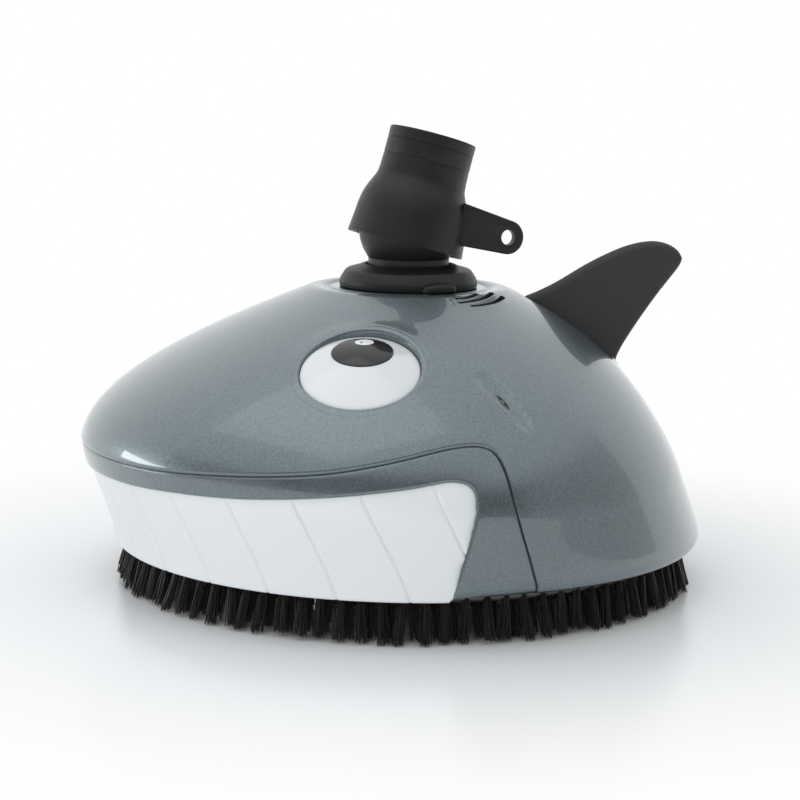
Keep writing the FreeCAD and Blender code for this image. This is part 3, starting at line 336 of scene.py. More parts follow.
def relief(points, z):
    """Height of the sculpted features over the plain body, in millimetres along its normal.

    Eye: a soft raised ring that is stronger on its upper side. Scoop: a paraboloid inside an ellipse.
    Fin trough: a flat-bottomed hollow along the spine that ends in a small hump.
    """
    mirrored = np.stack([np.abs(points[..., 0]), points[..., 1], points[..., 2]], -1)
    to_eye = mirrored - EYE
    flat = to_eye - (to_eye @ EYE_OUT)[..., None] * EYE_OUT
    reach = np.linalg.norm(flat, axis=-1)
    upper = np.clip((flat @ EYE_UP) / np.maximum(reach, 1), -1, 1)
    lift = (0.35 + 0.5 * np.clip(upper, 0, 1) ** 1.5) * np.exp(-((reach - 32.0) / 5.5) ** 2)
    lift = lift * (reach > 20)
    to_scoop = mirrored - SCOOP
    long_way = (to_scoop @ SCOOP_ALONG) / 20.0
    cross_way = (to_scoop @ SCOOP_ACROSS) / (6.3 - 1.2 * np.clip(long_way, -1, 1))
    inside = np.clip(1 - long_way ** 2 - cross_way ** 2, 0, 1)
    near_scoop = np.abs(to_scoop @ SCOOP_OUT) < 14
    lift = lift - 2.0 * inside ** 0.62 * near_scoop
    y = points[..., 1]
    trough = smooth_step(np.abs(points[..., 0]), 18.5, 9.0) * smooth_step(y, 56.0, 66.0)
    trough = trough * smooth_step(y, 105.0, 99.0)
    bump = 1.3 * np.exp(-((y - 106.0) / 4.0) ** 2) * smooth_step(np.abs(points[..., 0]), 20.0, 10.0)
    lift = lift - 4.2 * trough + bump * (z > 90)
    return lift


def vent_distance(points):
    """Distance outside the nearest vent: from its bowed middle line, less a half width of 0.35 to 1 mm."""
    reach = np.hypot(points[..., 0], points[..., 1])
    heading = np.degrees(np.arctan2(np.abs(points[..., 0]), -points[..., 1]))
    nearest = np.full(reach.shape, 99.0)
    for start, first, end, last in VENTS:
        share = (heading - first) / (last - first)
        held = np.clip(share, 0, 1)
        beyond = (share - held) * np.radians(last - first) * reach
        middle = start + (end - start) * held + 0.9 * np.sin(np.pi * held)
        nearest = np.minimum(nearest, np.hypot(reach - middle, beyond) - 0.35 - 0.65 * held)
    return np.where(points[..., 2] > 120, nearest, 99.0)


def socket_drop(points):
    """The floor of the eye socket, hidden behind the white: 7 mm below the shell inside 30.4 mm."""
    to_eye = np.stack([np.abs(points[..., 0]), points[..., 1], points[..., 2]], -1) - EYE
    flat = to_eye - (to_eye @ EYE_OUT)[..., None] * EYE_OUT
    return 7.0 * smooth_step(np.linalg.norm(flat, axis=-1), 31.6, 30.4)


crease_roll = 1.5 * np.clip(1 - from_edge / 1.5, 0, 1) ** 2 * in_mouth
lift = relief(shell_points, z) - socket_drop(shell_points) - rim_tuck(z) - crease_roll
under_vents = 4.5 * smooth_step(vent_distance(shell_points), 2.3, 1.5)
shell_points = shell_points + shell_normals * (lift - under_vents)[..., None]

# Crown: from the dome's last slice over a soft crest, down a narrow moat and up to the neck's raised ring
CROWN_OUTLINE = np.array([
    (51.3, 148.77), (50.6, 149.02), (49.8, 149.25), (49.0, 149.42), (48.0, 149.56), (46.8, 149.6),
    (45.4, 149.55), (44.0, 149.3), (42.9, 148.8), (42.0, 148.1), (41.2, 147.7), (40.5, 147.8),
    (40.0, 148.2), (39.7, 148.7), (39.3, 148.95), (38.6, 149.03), (36.0, 149.03), (31.3, 149.03)])
ring_phi = phi[-1]
crown = np.stack([CROWN_OUTLINE[:, :1] * np.sin(ring_phi), -CROWN_OUTLINE[:, :1] * np.cos(ring_phi),
                  CROWN_OUTLINE[:, 1:] + 0 * ring_phi], -1)
crown[..., 2] -= 4.5 * smooth_step(vent_distance(crown), 2.3, 1.5)
shell_points = np.concatenate([shell_points, crown])
rows, wide = shell_points.shape[:2]
shell_faces = [grid_faces(rows, wide, closed=True)]
all_points = [shell_points.reshape(-1, 3)]
made = rows * wide

# Lip band: from the crease in to the lip edge, then round it to face the teeth
for sign in (1, -1):
    width = np.linalg.norm(body_point(np.radians(mouth[:, 0]), mouth[:, 1])
                           - body_point(np.radians(mouth[:, 2]), mouth[:, 3]), axis=1)
    edge = np.array([0, 0.3, 0.7, 1.2])
    f = np.vstack([edge[:, None] / width,
                   (1.2 + np.linspace(0, 1, 9)[1:, None] * (width - 2.9)) / width,
                   (width - np.array([1.3, 0.9, 0.5, 0.2, 0.0, 0.0])[:, None]) / width])
    from_crease = f * width
    from_lip = (1 - f) * width
    depth = 0.8 + 1.6 * f + 0.7 * np.clip(1 - from_crease / 1.2, 0, 1) ** 2
    depth = depth + 1.0 * np.clip(1 - from_lip / 1.3, 0, 1) ** 2.5
    depth[-1] += 2.2
    band_phi = np.radians((1 - f) * mouth[:, 0] + f * mouth[:, 2]) * sign
    band_z = (1 - f) * mouth[:, 1] + f * mouth[:, 3]
    depth = depth + rim_tuck(band_z) * (1.0 - 0.75 * f)
    band = body_point(band_phi, band_z) - body_normal(band_phi, band_z) * depth[..., None]
    faces = grid_faces(band.shape[0], band.shape[1], first=made)
    shell_faces.append(faces[:, ::-1] if sign > 0 else faces)
    all_points.append(band.reshape(-1, 3))
    made += band.shape[0] * band.shape[1]
    # The rim turned under, from the lip's foot round to the spine
    foot = band[:-1, -1][::-1]
    rear_edge = body_point(np.radians(rear[:, 0]) * sign, rear[:, 1])
    rear_edge = rear_edge - body_normal(np.radians(rear[:, 0]) * sign, rear[:, 1]) * 5.7
    path = np.vstack([foot, rear_edge])
    centre = path * np.array([1, 1, 0])
    inward = -centre / np.linalg.norm(centre, axis=1, keepdims=True)
    turned = np.stack([path + inward * d + np.array([0, 0, h])
                       for d, h in ((0, 0), (0.9, -0.1), (1.8, 0.5), (2.2, 2.2), (2.2, 6.0))])
    faces = grid_faces(5, len(path), first=made)
    shell_faces.append(faces[:, ::-1] if sign > 0 else faces)
    all_points.append(turned.reshape(-1, 3))
    made += 5 * len(path)


def on_body(start, out):
    """Distance from each start point along a direction to the body, by halving."""
    low = np.full(start.shape[:-1], -30.0)
    high = np.full(start.shape[:-1], 20.0)
    for _ in range(40):
        middle = (low + high) / 2
        p = start + out * middle[..., None]
        outside = np.hypot(p[..., 0], p[..., 1] + body_shift(p[..., 2])) > body_radius(p[..., 2])
        high = np.where(outside, middle, high)
        low = np.where(outside, low, middle)
    return (low + high) / 2


def socket_ring(sign):
    """The socket's rolled rim: rings round the eye's axis from the white out to the shell's surface."""
    turn = np.linspace(0, 2 * np.pi, 144, endpoint=False)
    reach = np.array([28.5, 28.5, 28.6, 28.8, 29.1, 29.5, 30.0, 30.6, 31.2, 32.0, 32.9, 33.8])
    share = smooth_step(reach, 28.3, 30.4)
    proud = np.array([-6.0, -2.3, -1.5, -0.95, -0.5, -0.15, 0.04, 0.1, 0.08, 0.05, 0.03, -0.3])
    around = np.cos(turn)[:, None] * EYE_SIDE + np.sin(turn)[:, None] * EYE_UP
    start = EYE + reach[:, None, None] * around
    skin = on_body(start, EYE_OUT)
    surface = start + EYE_OUT * skin[..., None]
    swell = relief(surface, surface[..., 2])
    height = share[:, None] * (skin + swell) + proud[:, None]
    ring = start + EYE_OUT * height[..., None]
    ring[..., 0] *= sign
    return ring


for sign in (1, -1):
    ring = socket_ring(sign)
    faces = grid_faces(ring.shape[0], ring.shape[1], closed=True, first=made)
    shell_faces.append(faces[:, ::-1] if sign > 0 else faces)
    all_points.append(ring.reshape(-1, 3))
    made += ring.shape[0] * ring.shape[1]


def clouded(tree, shader, scale, low, high, detail=2.0, grain=0.0, depth=0.0003,
            stretch=None):
    """Roughness that wanders between two values with noise, and a fine grain; returns the noise.

    The noise may be drawn out along an axis.
    """
    place = tree.nodes.new("ShaderNodeTexCoord")
    cloud = tree.nodes.new("ShaderNodeTexNoise")
    cloud.inputs["Scale"].default_value = scale
    cloud.inputs["Detail"].default_value = detail
    spread = tree.nodes.new("ShaderNodeMapRange")
    spread.inputs["To Min"].default_value = low
    spread.inputs["To Max"].default_value = high
    where = place.outputs["Object"]
    if stretch:
        fit = tree.nodes.new("ShaderNodeMapping")
        fit.inputs["Scale"].default_value = stretch
        tree.links.new(where, fit.inputs["Vector"])
        where = fit.outputs["Vector"]
    tree.links.new(where, cloud.inputs["Vector"])
    tree.links.new(cloud.outputs["Fac"], spread.inputs["Value"])
    tree.links.new(spread.outputs["Result"], shader.inputs["Roughness"])
    if grain:
        bump = tree.nodes.new("ShaderNodeBump")
        bump.inputs["Strength"].default_value = grain
        bump.inputs["Distance"].default_value = depth
        tree.links.new(cloud.outputs["Fac"], bump.inputs["Height"])
        tree.links.new(bump.outputs["Normal"], shader.inputs["Normal"])
    return cloud


def tinted(tree, shader, driver, first, second):
    """Base colour between two tints, by the value of another node's socket."""
    tint = tree.nodes.new("ShaderNodeMix")
    tint.data_type = "RGBA"
    tint.inputs["A"].default_value = (*first, 1.0)
    tint.inputs["B"].default_value = (*second, 1.0)
    tree.links.new(driver, tint.inputs["Factor"])
    tree.links.new(tint.outputs["Result"], shader.inputs["Base Color"])


lacquer, tree, shader = node_material("grey_blue_lacquer", (0.165, 0.19, 0.195), 0.34,
                                      metallic=0.8, coat=1.0)
place = tree.nodes.new("ShaderNodeTexCoord")
flake = tree.nodes.new("ShaderNodeTexVoronoi")
flake.inputs["Scale"].default_value = 1900.0
tree.links.new(place.outputs["Object"], flake.inputs["Vector"])
tinted(tree, shader, flake.outputs["Color"], (0.115, 0.148, 0.16), (0.20, 0.248, 0.265))
spread = tree.nodes.new("ShaderNodeMapRange")
spread.inputs["To Min"].default_value = 0.28
spread.inputs["To Max"].default_value = 0.42
tree.links.new(flake.outputs["Color"], spread.inputs["Value"])
tree.links.new(spread.outputs["Result"], shader.inputs["Roughness"])

make_piece("shark_shell", np.vstack(all_points), np.vstack(shell_faces), lacquer, "housing",
           nodes=["upper_shell"])


# The three vents each side: slots 3.4 mm deep with a raised lip, black inside
def crown_height(x, y):
    """Height of the shell over a point of the plan: the body, or the neck's crest inside 51.3 mm."""
    start = np.stack([x, y, 135.0 + 0 * x], -1)
    body = 135.0 + on_body(start, np.array([0.0, 0.0, 1.0]))
    reach = np.hypot(x, y)
    crest = np.interp(reach, CROWN_OUTLINE[::-1, 0], CROWN_OUTLINE[::-1, 1])
    return np.where(reach > 51.3, body, crest)


plan_reach, plan_heading = np.meshgrid(np.linspace(44.5, 63.5, 74),
                                       np.radians(np.linspace(101.5, 143.0, 150)), indexing="ij")
vent_faces = grid_faces(74, 150)
cut, sheet = [], []
x, y = plan_reach * np.sin(plan_heading), -plan_reach * np.cos(plan_heading)
high = crown_height(x, y)
away = vent_distance(np.stack([x, y, high], -1))
deep = 3.4 * smooth_step(away, 0.25, -0.15) - 0.16 * np.exp(-((away - 0.55) / 0.28) ** 2)
sink = 0.6 * smooth_step(away, 3.2, 3.8)
for sign in (1, -1):
    patch = np.stack([x * sign, y, high + 0.06 - deep - sink], -1).reshape(-1, 3)
    faces = vent_faces[:, ::-1] if sign > 0 else vent_faces
    dark = deep.reshape(-1)[faces].max(1) > 0.22
    near = away.reshape(-1)[faces].min(1) < 3.8
    sheet.append((patch, faces[near & ~dark]))
    cut.append((patch, faces[dark]))

black, tree, shader = node_material("satin_black", (0.009, 0.009, 0.0095), 0.36, specular=0.36)
clouded(tree, shader, 260.0, 0.34, 0.52, detail=4.0, grain=0.05)
for name, coat, slot, (left, right) in (("vent_lips", lacquer, "shell", sheet),
                                          ("vent_floors", black, "black_plastic", cut)):
    together = np.vstack([left[1], right[1] + len(left[0])])
    used, packed = np.unique(together, return_inverse=True)
    points = np.vstack([left[0], right[0]])[used]
    make_piece(name, points, packed.reshape(-1, 4), coat, "housing")


# ---------------------------------------------------------------- teeth
# One white moulding behind the lip, in gloss plastic, with a fine V groove between each two teeth.
# Its lower edge is rounded and stands a little lower than the shell's rim.
GROOVES = np.array([(0.0, 0.0), (15.6, 12.6), (28.2, 25.2), (40.3, 37.2), (53.1, 50.4), (66.2, 63.6),
                    (79.3, 76.2), (92.4, 89.6)])
TEETH_LOW = 20.9
lip_rise = np.array([(0.0, 59.9), (26.0, 62.1), (51.0, 65.3), (70.8, 70.1), (85.3, 74.9), (92.2, 77.7),
                     (96.0, 78.0), (100.0, 78.0)])
foot_lean = np.array([(86.8, 23.3), (89.6, 36.5), (92.2, 46.5), (95.2, 59.0), (96.4, 66.6), (97.2, 74.0)])
fine = np.array([-2.0, -1.3, -0.85, -0.6, -0.4, -0.22, -0.08, 0.08, 0.22, 0.4, 0.6, 0.85, 1.3, 2.0])
half_columns = []
for i, low_angle in enumerate(GROOVES[:, 0]):
    step = np.degrees(fine / 148.0)
    half_columns.append(low_angle + (step[step > 0] if i == 0 else step))
    if i < len(GROOVES) - 1:
        half_columns.append(np.linspace(low_angle, GROOVES[i + 1, 0], 11)[2:-2] + 0.3)
half_columns.append([94.0, 95.0, 96.5, 98.0, 99.5, 101.0])
foot_angle = np.unique(np.round(np.concatenate(half_columns), 4))
foot_angle = foot_angle[foot_angle <= 101.0]
foot_angle = np.concatenate([-foot_angle[::-1], foot_angle])
shear = np.interp(np.abs(foot_angle), GROOVES[:, 0], GROOVES[:, 0] - GROOVES[:, 1]) * np.sign(foot_angle)
rise = np.array([0.0, 0.0, 0.0, 0.15, 0.45, 0.9, 1.5])
rounding = np.array([5.0, 3.0, 1.3, 0.62, 0.25, 0.06, 0.0])
share = np.linspace(0.0, 1.0, 40)[1:]
top = np.interp(np.abs(foot_angle - shear), lip_rise[:, 0], lip_rise[:, 1]) + 2.6
corner = 7.0 * smooth_step(np.abs(foot_angle), 86.9, 88.3)
low = TEETH_LOW + corner
tooth_z = np.concatenate([low + rise[:, None], low + 1.5 + share[:, None] * (top - low - 1.5)])
tooth_depth = np.concatenate([rounding[:, None] + 0 * low, np.zeros((len(share), len(low)))])
lifted = np.clip((tooth_z - TEETH_LOW) / (top - TEETH_LOW), 0, 1)
tooth_phi = foot_angle - shear * lifted
off_groove = np.full(tooth_phi.shape, 99.0)
for low_angle in GROOVES[:, 0]:
    line = low_angle - np.interp(low_angle, GROOVES[:, 0], GROOVES[:, 0] - GROOVES[:, 1]) * lifted
    off_groove = np.minimum(off_groove, np.abs(np.abs(tooth_phi) - line))
off_groove = np.radians(off_groove) * 148.0
valley = 0.75 * np.clip(1 - off_groove / 0.95, 0, 1) ** 0.8 * smooth_step(top - 2.6 - tooth_z, 1.6, 3.2)
crown_round = 0.2 * np.clip(1 - off_groove / 2.6, 0, 1) ** 2
behind = smooth_step(np.abs(tooth_phi), 0.15 + np.interp(tooth_z, foot_lean[:, 1], foot_lean[:, 0]),
                     2.2 + np.interp(tooth_z, foot_lean[:, 1], foot_lean[:, 0]))
angle = np.radians(tooth_phi)
depth = 4.0 + tooth_depth + valley + crown_round + 5.0 * behind
teeth_points = body_point(angle, tooth_z) - body_normal(angle, tooth_z) * depth[..., None]
enamel, tree, shader = node_material("white_gloss_plastic", (0.79, 0.82, 0.835), 0.22, specular=0.55)
cloud = clouded(tree, shader, 18.0, 0.18, 0.27)
tinted(tree, shader, cloud.outputs["Fac"], (0.78, 0.81, 0.825), (0.80, 0.83, 0.845))
make_piece("teeth", teeth_points, grid_faces(*teeth_points.shape[:2]), enamel, "housing",
           nodes=["teeth_insert"])


# ---------------------------------------------------------------- eyes
# A domed white disc in each socket, moulded in the same gloss plastic as the teeth, pressed in until its
# edge sits just under the socket's rolled rim. Its colour is darker than the teeth's white: painted shade
# that offsets the stronger light falling on the upward-facing domes.

def turned_rings(profile, centre, across, up, along, segments=128):
    """A profile of radius and height carried round an axis: one ring of points for each profile row."""
    turn = np.linspace(0, 2 * np.pi, segments, endpoint=False)
    spoke = np.cos(turn)[:, None] * across + np.sin(turn)[:, None] * up
    return centre + profile[:, 0, None, None] * spoke + profile[:, 1, None, None] * along


def ring_faces(rows, columns, first=0, cap=False, flip=False):
    """Faces of stacked rings, with one many-sided face over the last ring if it closes a pole."""
    faces = [tuple(face) for face in grid_faces(rows, columns, closed=True, first=first)]
    if cap:
        faces.append(tuple(range(first + (rows - 1) * columns, first + rows * columns)))
    return [face[::-1] for face in faces] if flip else faces


MIRROR = np.array([-1, 1, 1])
DOME = 72.0
reach = np.concatenate([np.linspace(26.9, 3.0, 22), [0.05]])
dome = np.stack([reach, 4.3 + np.sqrt(DOME ** 2 - reach ** 2) - DOME], -1)
edge = np.array([(28.35, -5.5), (28.35, -2.6), (28.3, -2.1), (28.1, -1.66), (27.7, -1.36)])
white_rings = turned_rings(np.vstack([edge, dome]), EYE, EYE_SIDE, EYE_UP, EYE_OUT)
# Painted shade: this white is set darker than the teeth's white plastic, to offset the light falling on the
# domes' upward faces.
painted_shade_eye_white, tree, shader = node_material("eye_white_painted_shade", (0.70, 0.73, 0.745), 0.16, coat=0.5)
clouded(tree, shader, 30.0, 0.12, 0.20)
for name, node, mirror in (("eye_white_left", "eye_left", 1), ("eye_white_right", "eye_right", -1)):
    rings = white_rings if mirror > 0 else white_rings * MIRROR
    make_piece(name, rings, ring_faces(*rings.shape[:2], cap=True, flip=mirror < 0), painted_shade_eye_white, "housing",
               nodes=[node])


# ---------------------------------------------------------------- pupils
# A thin gloss black disc bonded on each dome, high up, printed with a white catch-light and its dark dot.
PUPIL_RISE = 10.4
lean = np.arcsin(PUPIL_RISE / DOME)
pupil_out = np.cos(lean) * EYE_OUT + np.sin(lean) * EYE_UP
pupil_up = np.cos(lean) * EYE_UP - np.sin(lean) * EYE_OUT
dome_centre = EYE + EYE_OUT * (4.3 - DOME)
reach = np.concatenate([[14.75, 14.75, 14.65, 14.4, 14.0], np.linspace(13.3, 1.0, 12), [0.05]])
thick = np.concatenate([[-0.3, 0.3, 0.5, 0.62, 0.68], np.full(13, 0.7)])
cap_profile = np.stack([(DOME + thick) * np.sin(reach / DOME), (DOME + thick) * np.cos(reach / DOME)], -1)
pupil_rings = turned_rings(cap_profile, dome_centre, EYE_SIDE, pupil_up * 0.94, pupil_out, 96)
PRINT = dome_centre + (DOME + 0.7) * (np.cos(7.9 / DOME) * pupil_out + np.sin(7.9 / DOME) * pupil_up)
DOT = PRINT - 1.3 * EYE_SIDE - 0.6 * pupil_up


def print_mask(tree, place, centre, half_width, half_height):
    """1 inside an ellipse on the pupil, 0 outside: the offsets over the half sizes, cut at length 1."""
    parts = tree.nodes.new("ShaderNodeSeparateXYZ")
    fold = tree.nodes.new("ShaderNodeMath")
    fold.operation = "ABSOLUTE"
    join = tree.nodes.new("ShaderNodeCombineXYZ")
    offset = tree.nodes.new("ShaderNodeVectorMath")
    offset.operation = "SUBTRACT"
    offset.inputs[1].default_value = tuple(centre * 0.001)
    tree.links.new(place.outputs["Object"], parts.inputs[0])
    tree.links.new(parts.outputs["X"], fold.inputs[0])
    tree.links.new(fold.outputs[0], join.inputs["X"])
    tree.links.new(parts.outputs["Y"], join.inputs["Y"])
    tree.links.new(parts.outputs["Z"], join.inputs["Z"])
    tree.links.new(join.outputs[0], offset.inputs[0])
    pair = tree.nodes.new("ShaderNodeCombineXYZ")
    for socket, direction in (("X", EYE_SIDE / half_width), ("Y", pupil_up / half_height)):
        share = tree.nodes.new("ShaderNodeVectorMath")
        share.operation = "DOT_PRODUCT"
        share.inputs[1].default_value = tuple(direction * 1000)
        tree.links.new(offset.outputs["Vector"], share.inputs[0])
        tree.links.new(share.outputs["Value"], pair.inputs[socket])
    far = tree.nodes.new("ShaderNodeVectorMath")
    far.operation = "LENGTH"
    tree.links.new(pair.outputs[0], far.inputs[0])
    cut = tree.nodes.new("ShaderNodeMapRange")
    cut.inputs["From Min"].default_value = 1.03
    cut.inputs["From Max"].default_value = 0.97
    tree.links.new(far.outputs["Value"], cut.inputs["Value"])
    return cut.outputs["Result"]


gloss_black, tree, shader = node_material("gloss_black_print", (0.014, 0.014, 0.016), 0.12,
                                          coat=0.1, specular=0.35)
place = tree.nodes.new("ShaderNodeTexCoord")
light_mix = tree.nodes.new("ShaderNodeMix")
light_mix.data_type = "RGBA"
light_mix.inputs["A"].default_value = (0.018, 0.018, 0.02, 1.0)
light_mix.inputs["B"].default_value = (0.80, 0.83, 0.84, 1.0)
dot_mix = tree.nodes.new("ShaderNodeMix")
dot_mix.data_type = "RGBA"
dot_mix.inputs["B"].default_value = (0.12, 0.12, 0.13, 1.0)
tree.links.new(print_mask(tree, place, PRINT, 4.45, 3.6), light_mix.inputs["Factor"])
tree.links.new(print_mask(tree, place, DOT, 0.75, 0.85), dot_mix.inputs["Factor"])
tree.links.new(light_mix.outputs["Result"], dot_mix.inputs["A"])
tree.links.new(dot_mix.outputs["Result"], shader.inputs["Base Color"])
for name, node, mirror in (("pupil_disc_left", "pupil_left", 1), ("pupil_disc_right", "pupil_right", -1)):
    rings = pupil_rings if mirror > 0 else pupil_rings * MIRROR
    make_piece(name, rings, ring_faces(*rings.shape[:2], cap=True, flip=mirror < 0), gloss_black, "housing",
               nodes=[node])


# ---------------------------------------------------------------- latches
# In each finger scoop a pointed dark window with a fine lacquered lip, and in it the top of the sprung
# latch that holds the shell to the chassis. The latch goes 3 mm in when it is pressed.

def scoop_surface(along, across):
    """Points on the scoop's floor: the body cut along the scoop's axis, lowered by the relief."""
    start = SCOOP + along[..., None] * SCOOP_ALONG + across[..., None] * SCOOP_ACROSS
    surface = start + SCOOP_OUT * on_body(start, SCOOP_OUT)[..., None]
    drop = relief(surface, surface[..., 2])
    return surface + SCOOP_OUT * drop[..., None]


turn = np.linspace(0, 2 * np.pi, 64, endpoint=False)
lens = np.stack([5.0 * np.cos(turn), 1.25 * np.sin(turn) * np.abs(np.sin(turn))], -1)
swell = np.array([1.22, 1.12, 1.02, 0.97, 0.95])
lens_lift = np.array([-0.08, 0.22, 0.26, 0.1, -0.3])
WINDOW = (-1.2, -0.3)
wider = swell[:, None] - 1
lip_rings = scoop_surface(WINDOW[0] + lens[:, 0] * (1 + wider * 0.45),
                          WINDOW[1] + lens[:, 1] * swell[:, None] + 0.16 * np.sin(turn) * wider * 5)
lip_rings = lip_rings + SCOOP_OUT * lens_lift[:, None, None]
pane = np.array([0.96, 0.7, 0.4, 0.01])
pane_rings = scoop_surface(WINDOW[0] + lens[:, 0] * pane[:, None], WINDOW[1] + lens[:, 1] * pane[:, None])
pane_rings = pane_rings + SCOOP_OUT * 0.04
button = np.array([(1.35, -3.0), (1.35, 0.05), (1.25, 0.22), (0.95, 0.32), (0.5, 0.36), (0.05, 0.37)])
button_rings = turned_rings(button, scoop_surface(np.array(WINDOW[0] - 0.2), np.array(WINDOW[1])),
                            SCOOP_ALONG, SCOOP_ACROSS * 0.5, SCOOP_OUT, 40)
lens_flip = np.dot(np.cross(SCOOP_ALONG, SCOOP_ACROSS), SCOOP_OUT) < 0
grey_plastic, tree, shader = node_material("grey_plastic", (0.12, 0.145, 0.15), 0.35)
clouded(tree, shader, 300.0, 0.3, 0.45)
for name, node, mirror in (("left", "latch_left", 1), ("right", "latch_right", -1)):
    other = np.array([mirror, 1, 1])
    flip = lens_flip != (mirror < 0)
    make_piece("window_lip_" + name, lip_rings * other, ring_faces(*lip_rings.shape[:2], flip=flip),
               lacquer, "housing")
    make_piece("window_" + name, pane_rings * other, ring_faces(*pane_rings.shape[:2], cap=True, flip=flip),
               gloss_black, "housing")
    make_piece("latch_top_" + name, button_rings * other,
               ring_faces(*button_rings.shape[:2], cap=True, flip=flip), grey_plastic,
               name + "_latch", nodes=[node])


# ---------------------------------------------------------------- dorsal fin
# A soft matt black moulding, 9 mm thick with full round edges, that sits on the trough's floor and is
# held by two screws from inside. Its front edge sweeps back to a blunt tip.
FRONT = np.array([(59.0, 141.2), (60.5, 142.9), (69.0, 146.3), (79.0, 151.2), (96.3, 161.1),
                  (113.7, 168.8), (126.9, 171.6), (135.8, 170.7), (142.2, 167.4), (145.0, 162.6)])
REAR = np.array([(110.9, 107.5), (110.9, 109.4), (112.1, 113.0), (115.5, 119.4), (123.9, 132.2),
                 (132.3, 143.9), (138.2, 151.4), (142.0, 156.2), (144.2, 159.6), (145.0, 162.6)])
front = through(FRONT, 90)
rear_edge = through(REAR, 90)
turn = np.linspace(0, 2 * np.pi, 96, endpoint=False)
bias = 0.5 - 0.5 * np.sign(np.cos(turn)) * np.abs(np.cos(turn)) ** 0.75
chord = np.linalg.norm(front - rear_edge, axis=1)[:, None]
to_edge = np.minimum(bias, 1 - bias) * chord
bulge = 4.5 * np.sqrt(np.clip(1 - (1 - np.clip(to_edge / 4.2, 0, 1)) ** 2, 0, 1))
bulge = bulge * np.sign(np.sin(turn)) * (np.abs(np.sin(turn)) > 1e-6)
line = front[:, None] * (1 - bias[:, None]) + rear_edge[:, None] * bias[:, None]
blade = np.concatenate([bulge[..., None], line], -1)
matt_black, tree, shader = node_material("matt_black", (0.036, 0.036, 0.038), 0.62, specular=0.4)
clouded(tree, shader, 900.0, 0.54, 0.70, detail=3.0, grain=0.12, depth=0.0002)
blade_faces = [face[::-1] for face in ring_faces(*blade.shape[:2], cap=True)]
make_piece("fin_blade", blade, blade_faces, matt_black, "housing", nodes=["dorsal_fin"])

# The fin's root: a low saddle that fills the trough, from its front tip to the hump
ROOT_TOP = np.array([(58.5, 142.3), (69.7, 136.7), (83.0, 130.2),
                     (96.5, 121.1), (103.4, 114.9), (109.9, 109.6)])
ridge = through(ROOT_TOP, 60)
half_section = np.array([(17.0, -6.0), (16.7, -2.0), (15.4, -1.35), (12.0, -0.9),
                         (8.0, -0.5), (5.6, -0.25), (4.4, 0.0)])
section = np.vstack([half_section, half_section[::-1] * np.array([-1, 1])])
narrowing = 1 - 0.66 * smooth_step(ridge[:, 0], 94.0, 101.0)
plinth = np.stack([section[:, :1] * narrowing, 0 * section[:, :1] + ridge[:, 0],
                   section[:, 1:] + ridge[:, 1]], -1)
make_piece("fin_root", plinth, grid_faces(*plinth.shape[:2]), matt_black, "housing")


# ---------------------------------------------------------------- lock ring
# A satin black ring that turns 30 degrees to hold the swivel neck down, with one thumb tab.
RING = np.array([(31.5, 149.3), (34.3, 149.3), (34.8, 149.5), (35.05, 150.0), (35.05, 152.0),
                 (34.85, 152.8), (34.3, 153.9), (32.6, 156.6), (32.0, 157.4), (31.2, 158.0), (30.2, 158.4),
                 (25.4, 159.7), (24.4, 160.2), (23.6, 160.55), (22.7, 160.5), (22.2, 160.1), (22.05, 159.4),
                 (22.0, 153.0), (31.5, 153.0), (31.5, 149.3)])
AXIS = (np.zeros(3), np.array([1.0, 0, 0]), np.array([0, 1.0, 0]), np.array([0, 0, 1.0]))
ring_rings = turned_rings(RING, *AXIS, 160)
lock = make_piece("lock_collar", ring_rings, ring_faces(*ring_rings.shape[:2]), black, "lock",
                  nodes=["lock_ring"])
lock.data.set_sharp_from_angle(angle=0.6)
across = np.linspace(-1, 1, 41)
TAB = np.array([0.970, 0.242, 0.0])
TAB_SIDE = np.array([-0.242, 0.970, 0.0])
fall = np.linspace(0, np.pi / 2, 14)
out = 6.4 * np.clip(1 - np.abs(across) ** 5, 0.0, 1) ** 0.5 + 0.4
top = 4.9 * np.clip(1 - 0.32 * across ** 2 - 0.5 * np.abs(across) ** 12, 0, 1)
tab_out = 32.6 + out * np.sin(fall)[:, None] ** 0.55
tab_high = 149.45 + top * np.cos(fall)[:, None] ** 0.55
UP = np.array([0, 0, 1.0])
sideways = (9.3 * across)[:, None] * TAB_SIDE
tab = tab_out[..., None] * TAB + sideways + tab_high[..., None] * UP
tab = np.concatenate([tab, tab[-1:] * 0 + 32.6 * TAB + sideways + 149.45 * UP])
tab_faces = grid_faces(*tab.shape[:2])
make_piece("thumb_tab", tab, tab_faces[:, ::-1], black, "lock")


# ---------------------------------------------------------------- hose hood
# The swivel elbow that takes the hose: a satin black moulding that hugs the ball, with a plain cuff,
# two fine parting lines and a flat lug whose hole takes a tether.

def turn_about(axis, degrees):
    """Rotation matrix by the angle in degrees about the x or z axis."""
    return np.array(Matrix.Rotation(np.radians(degrees), 3, axis))


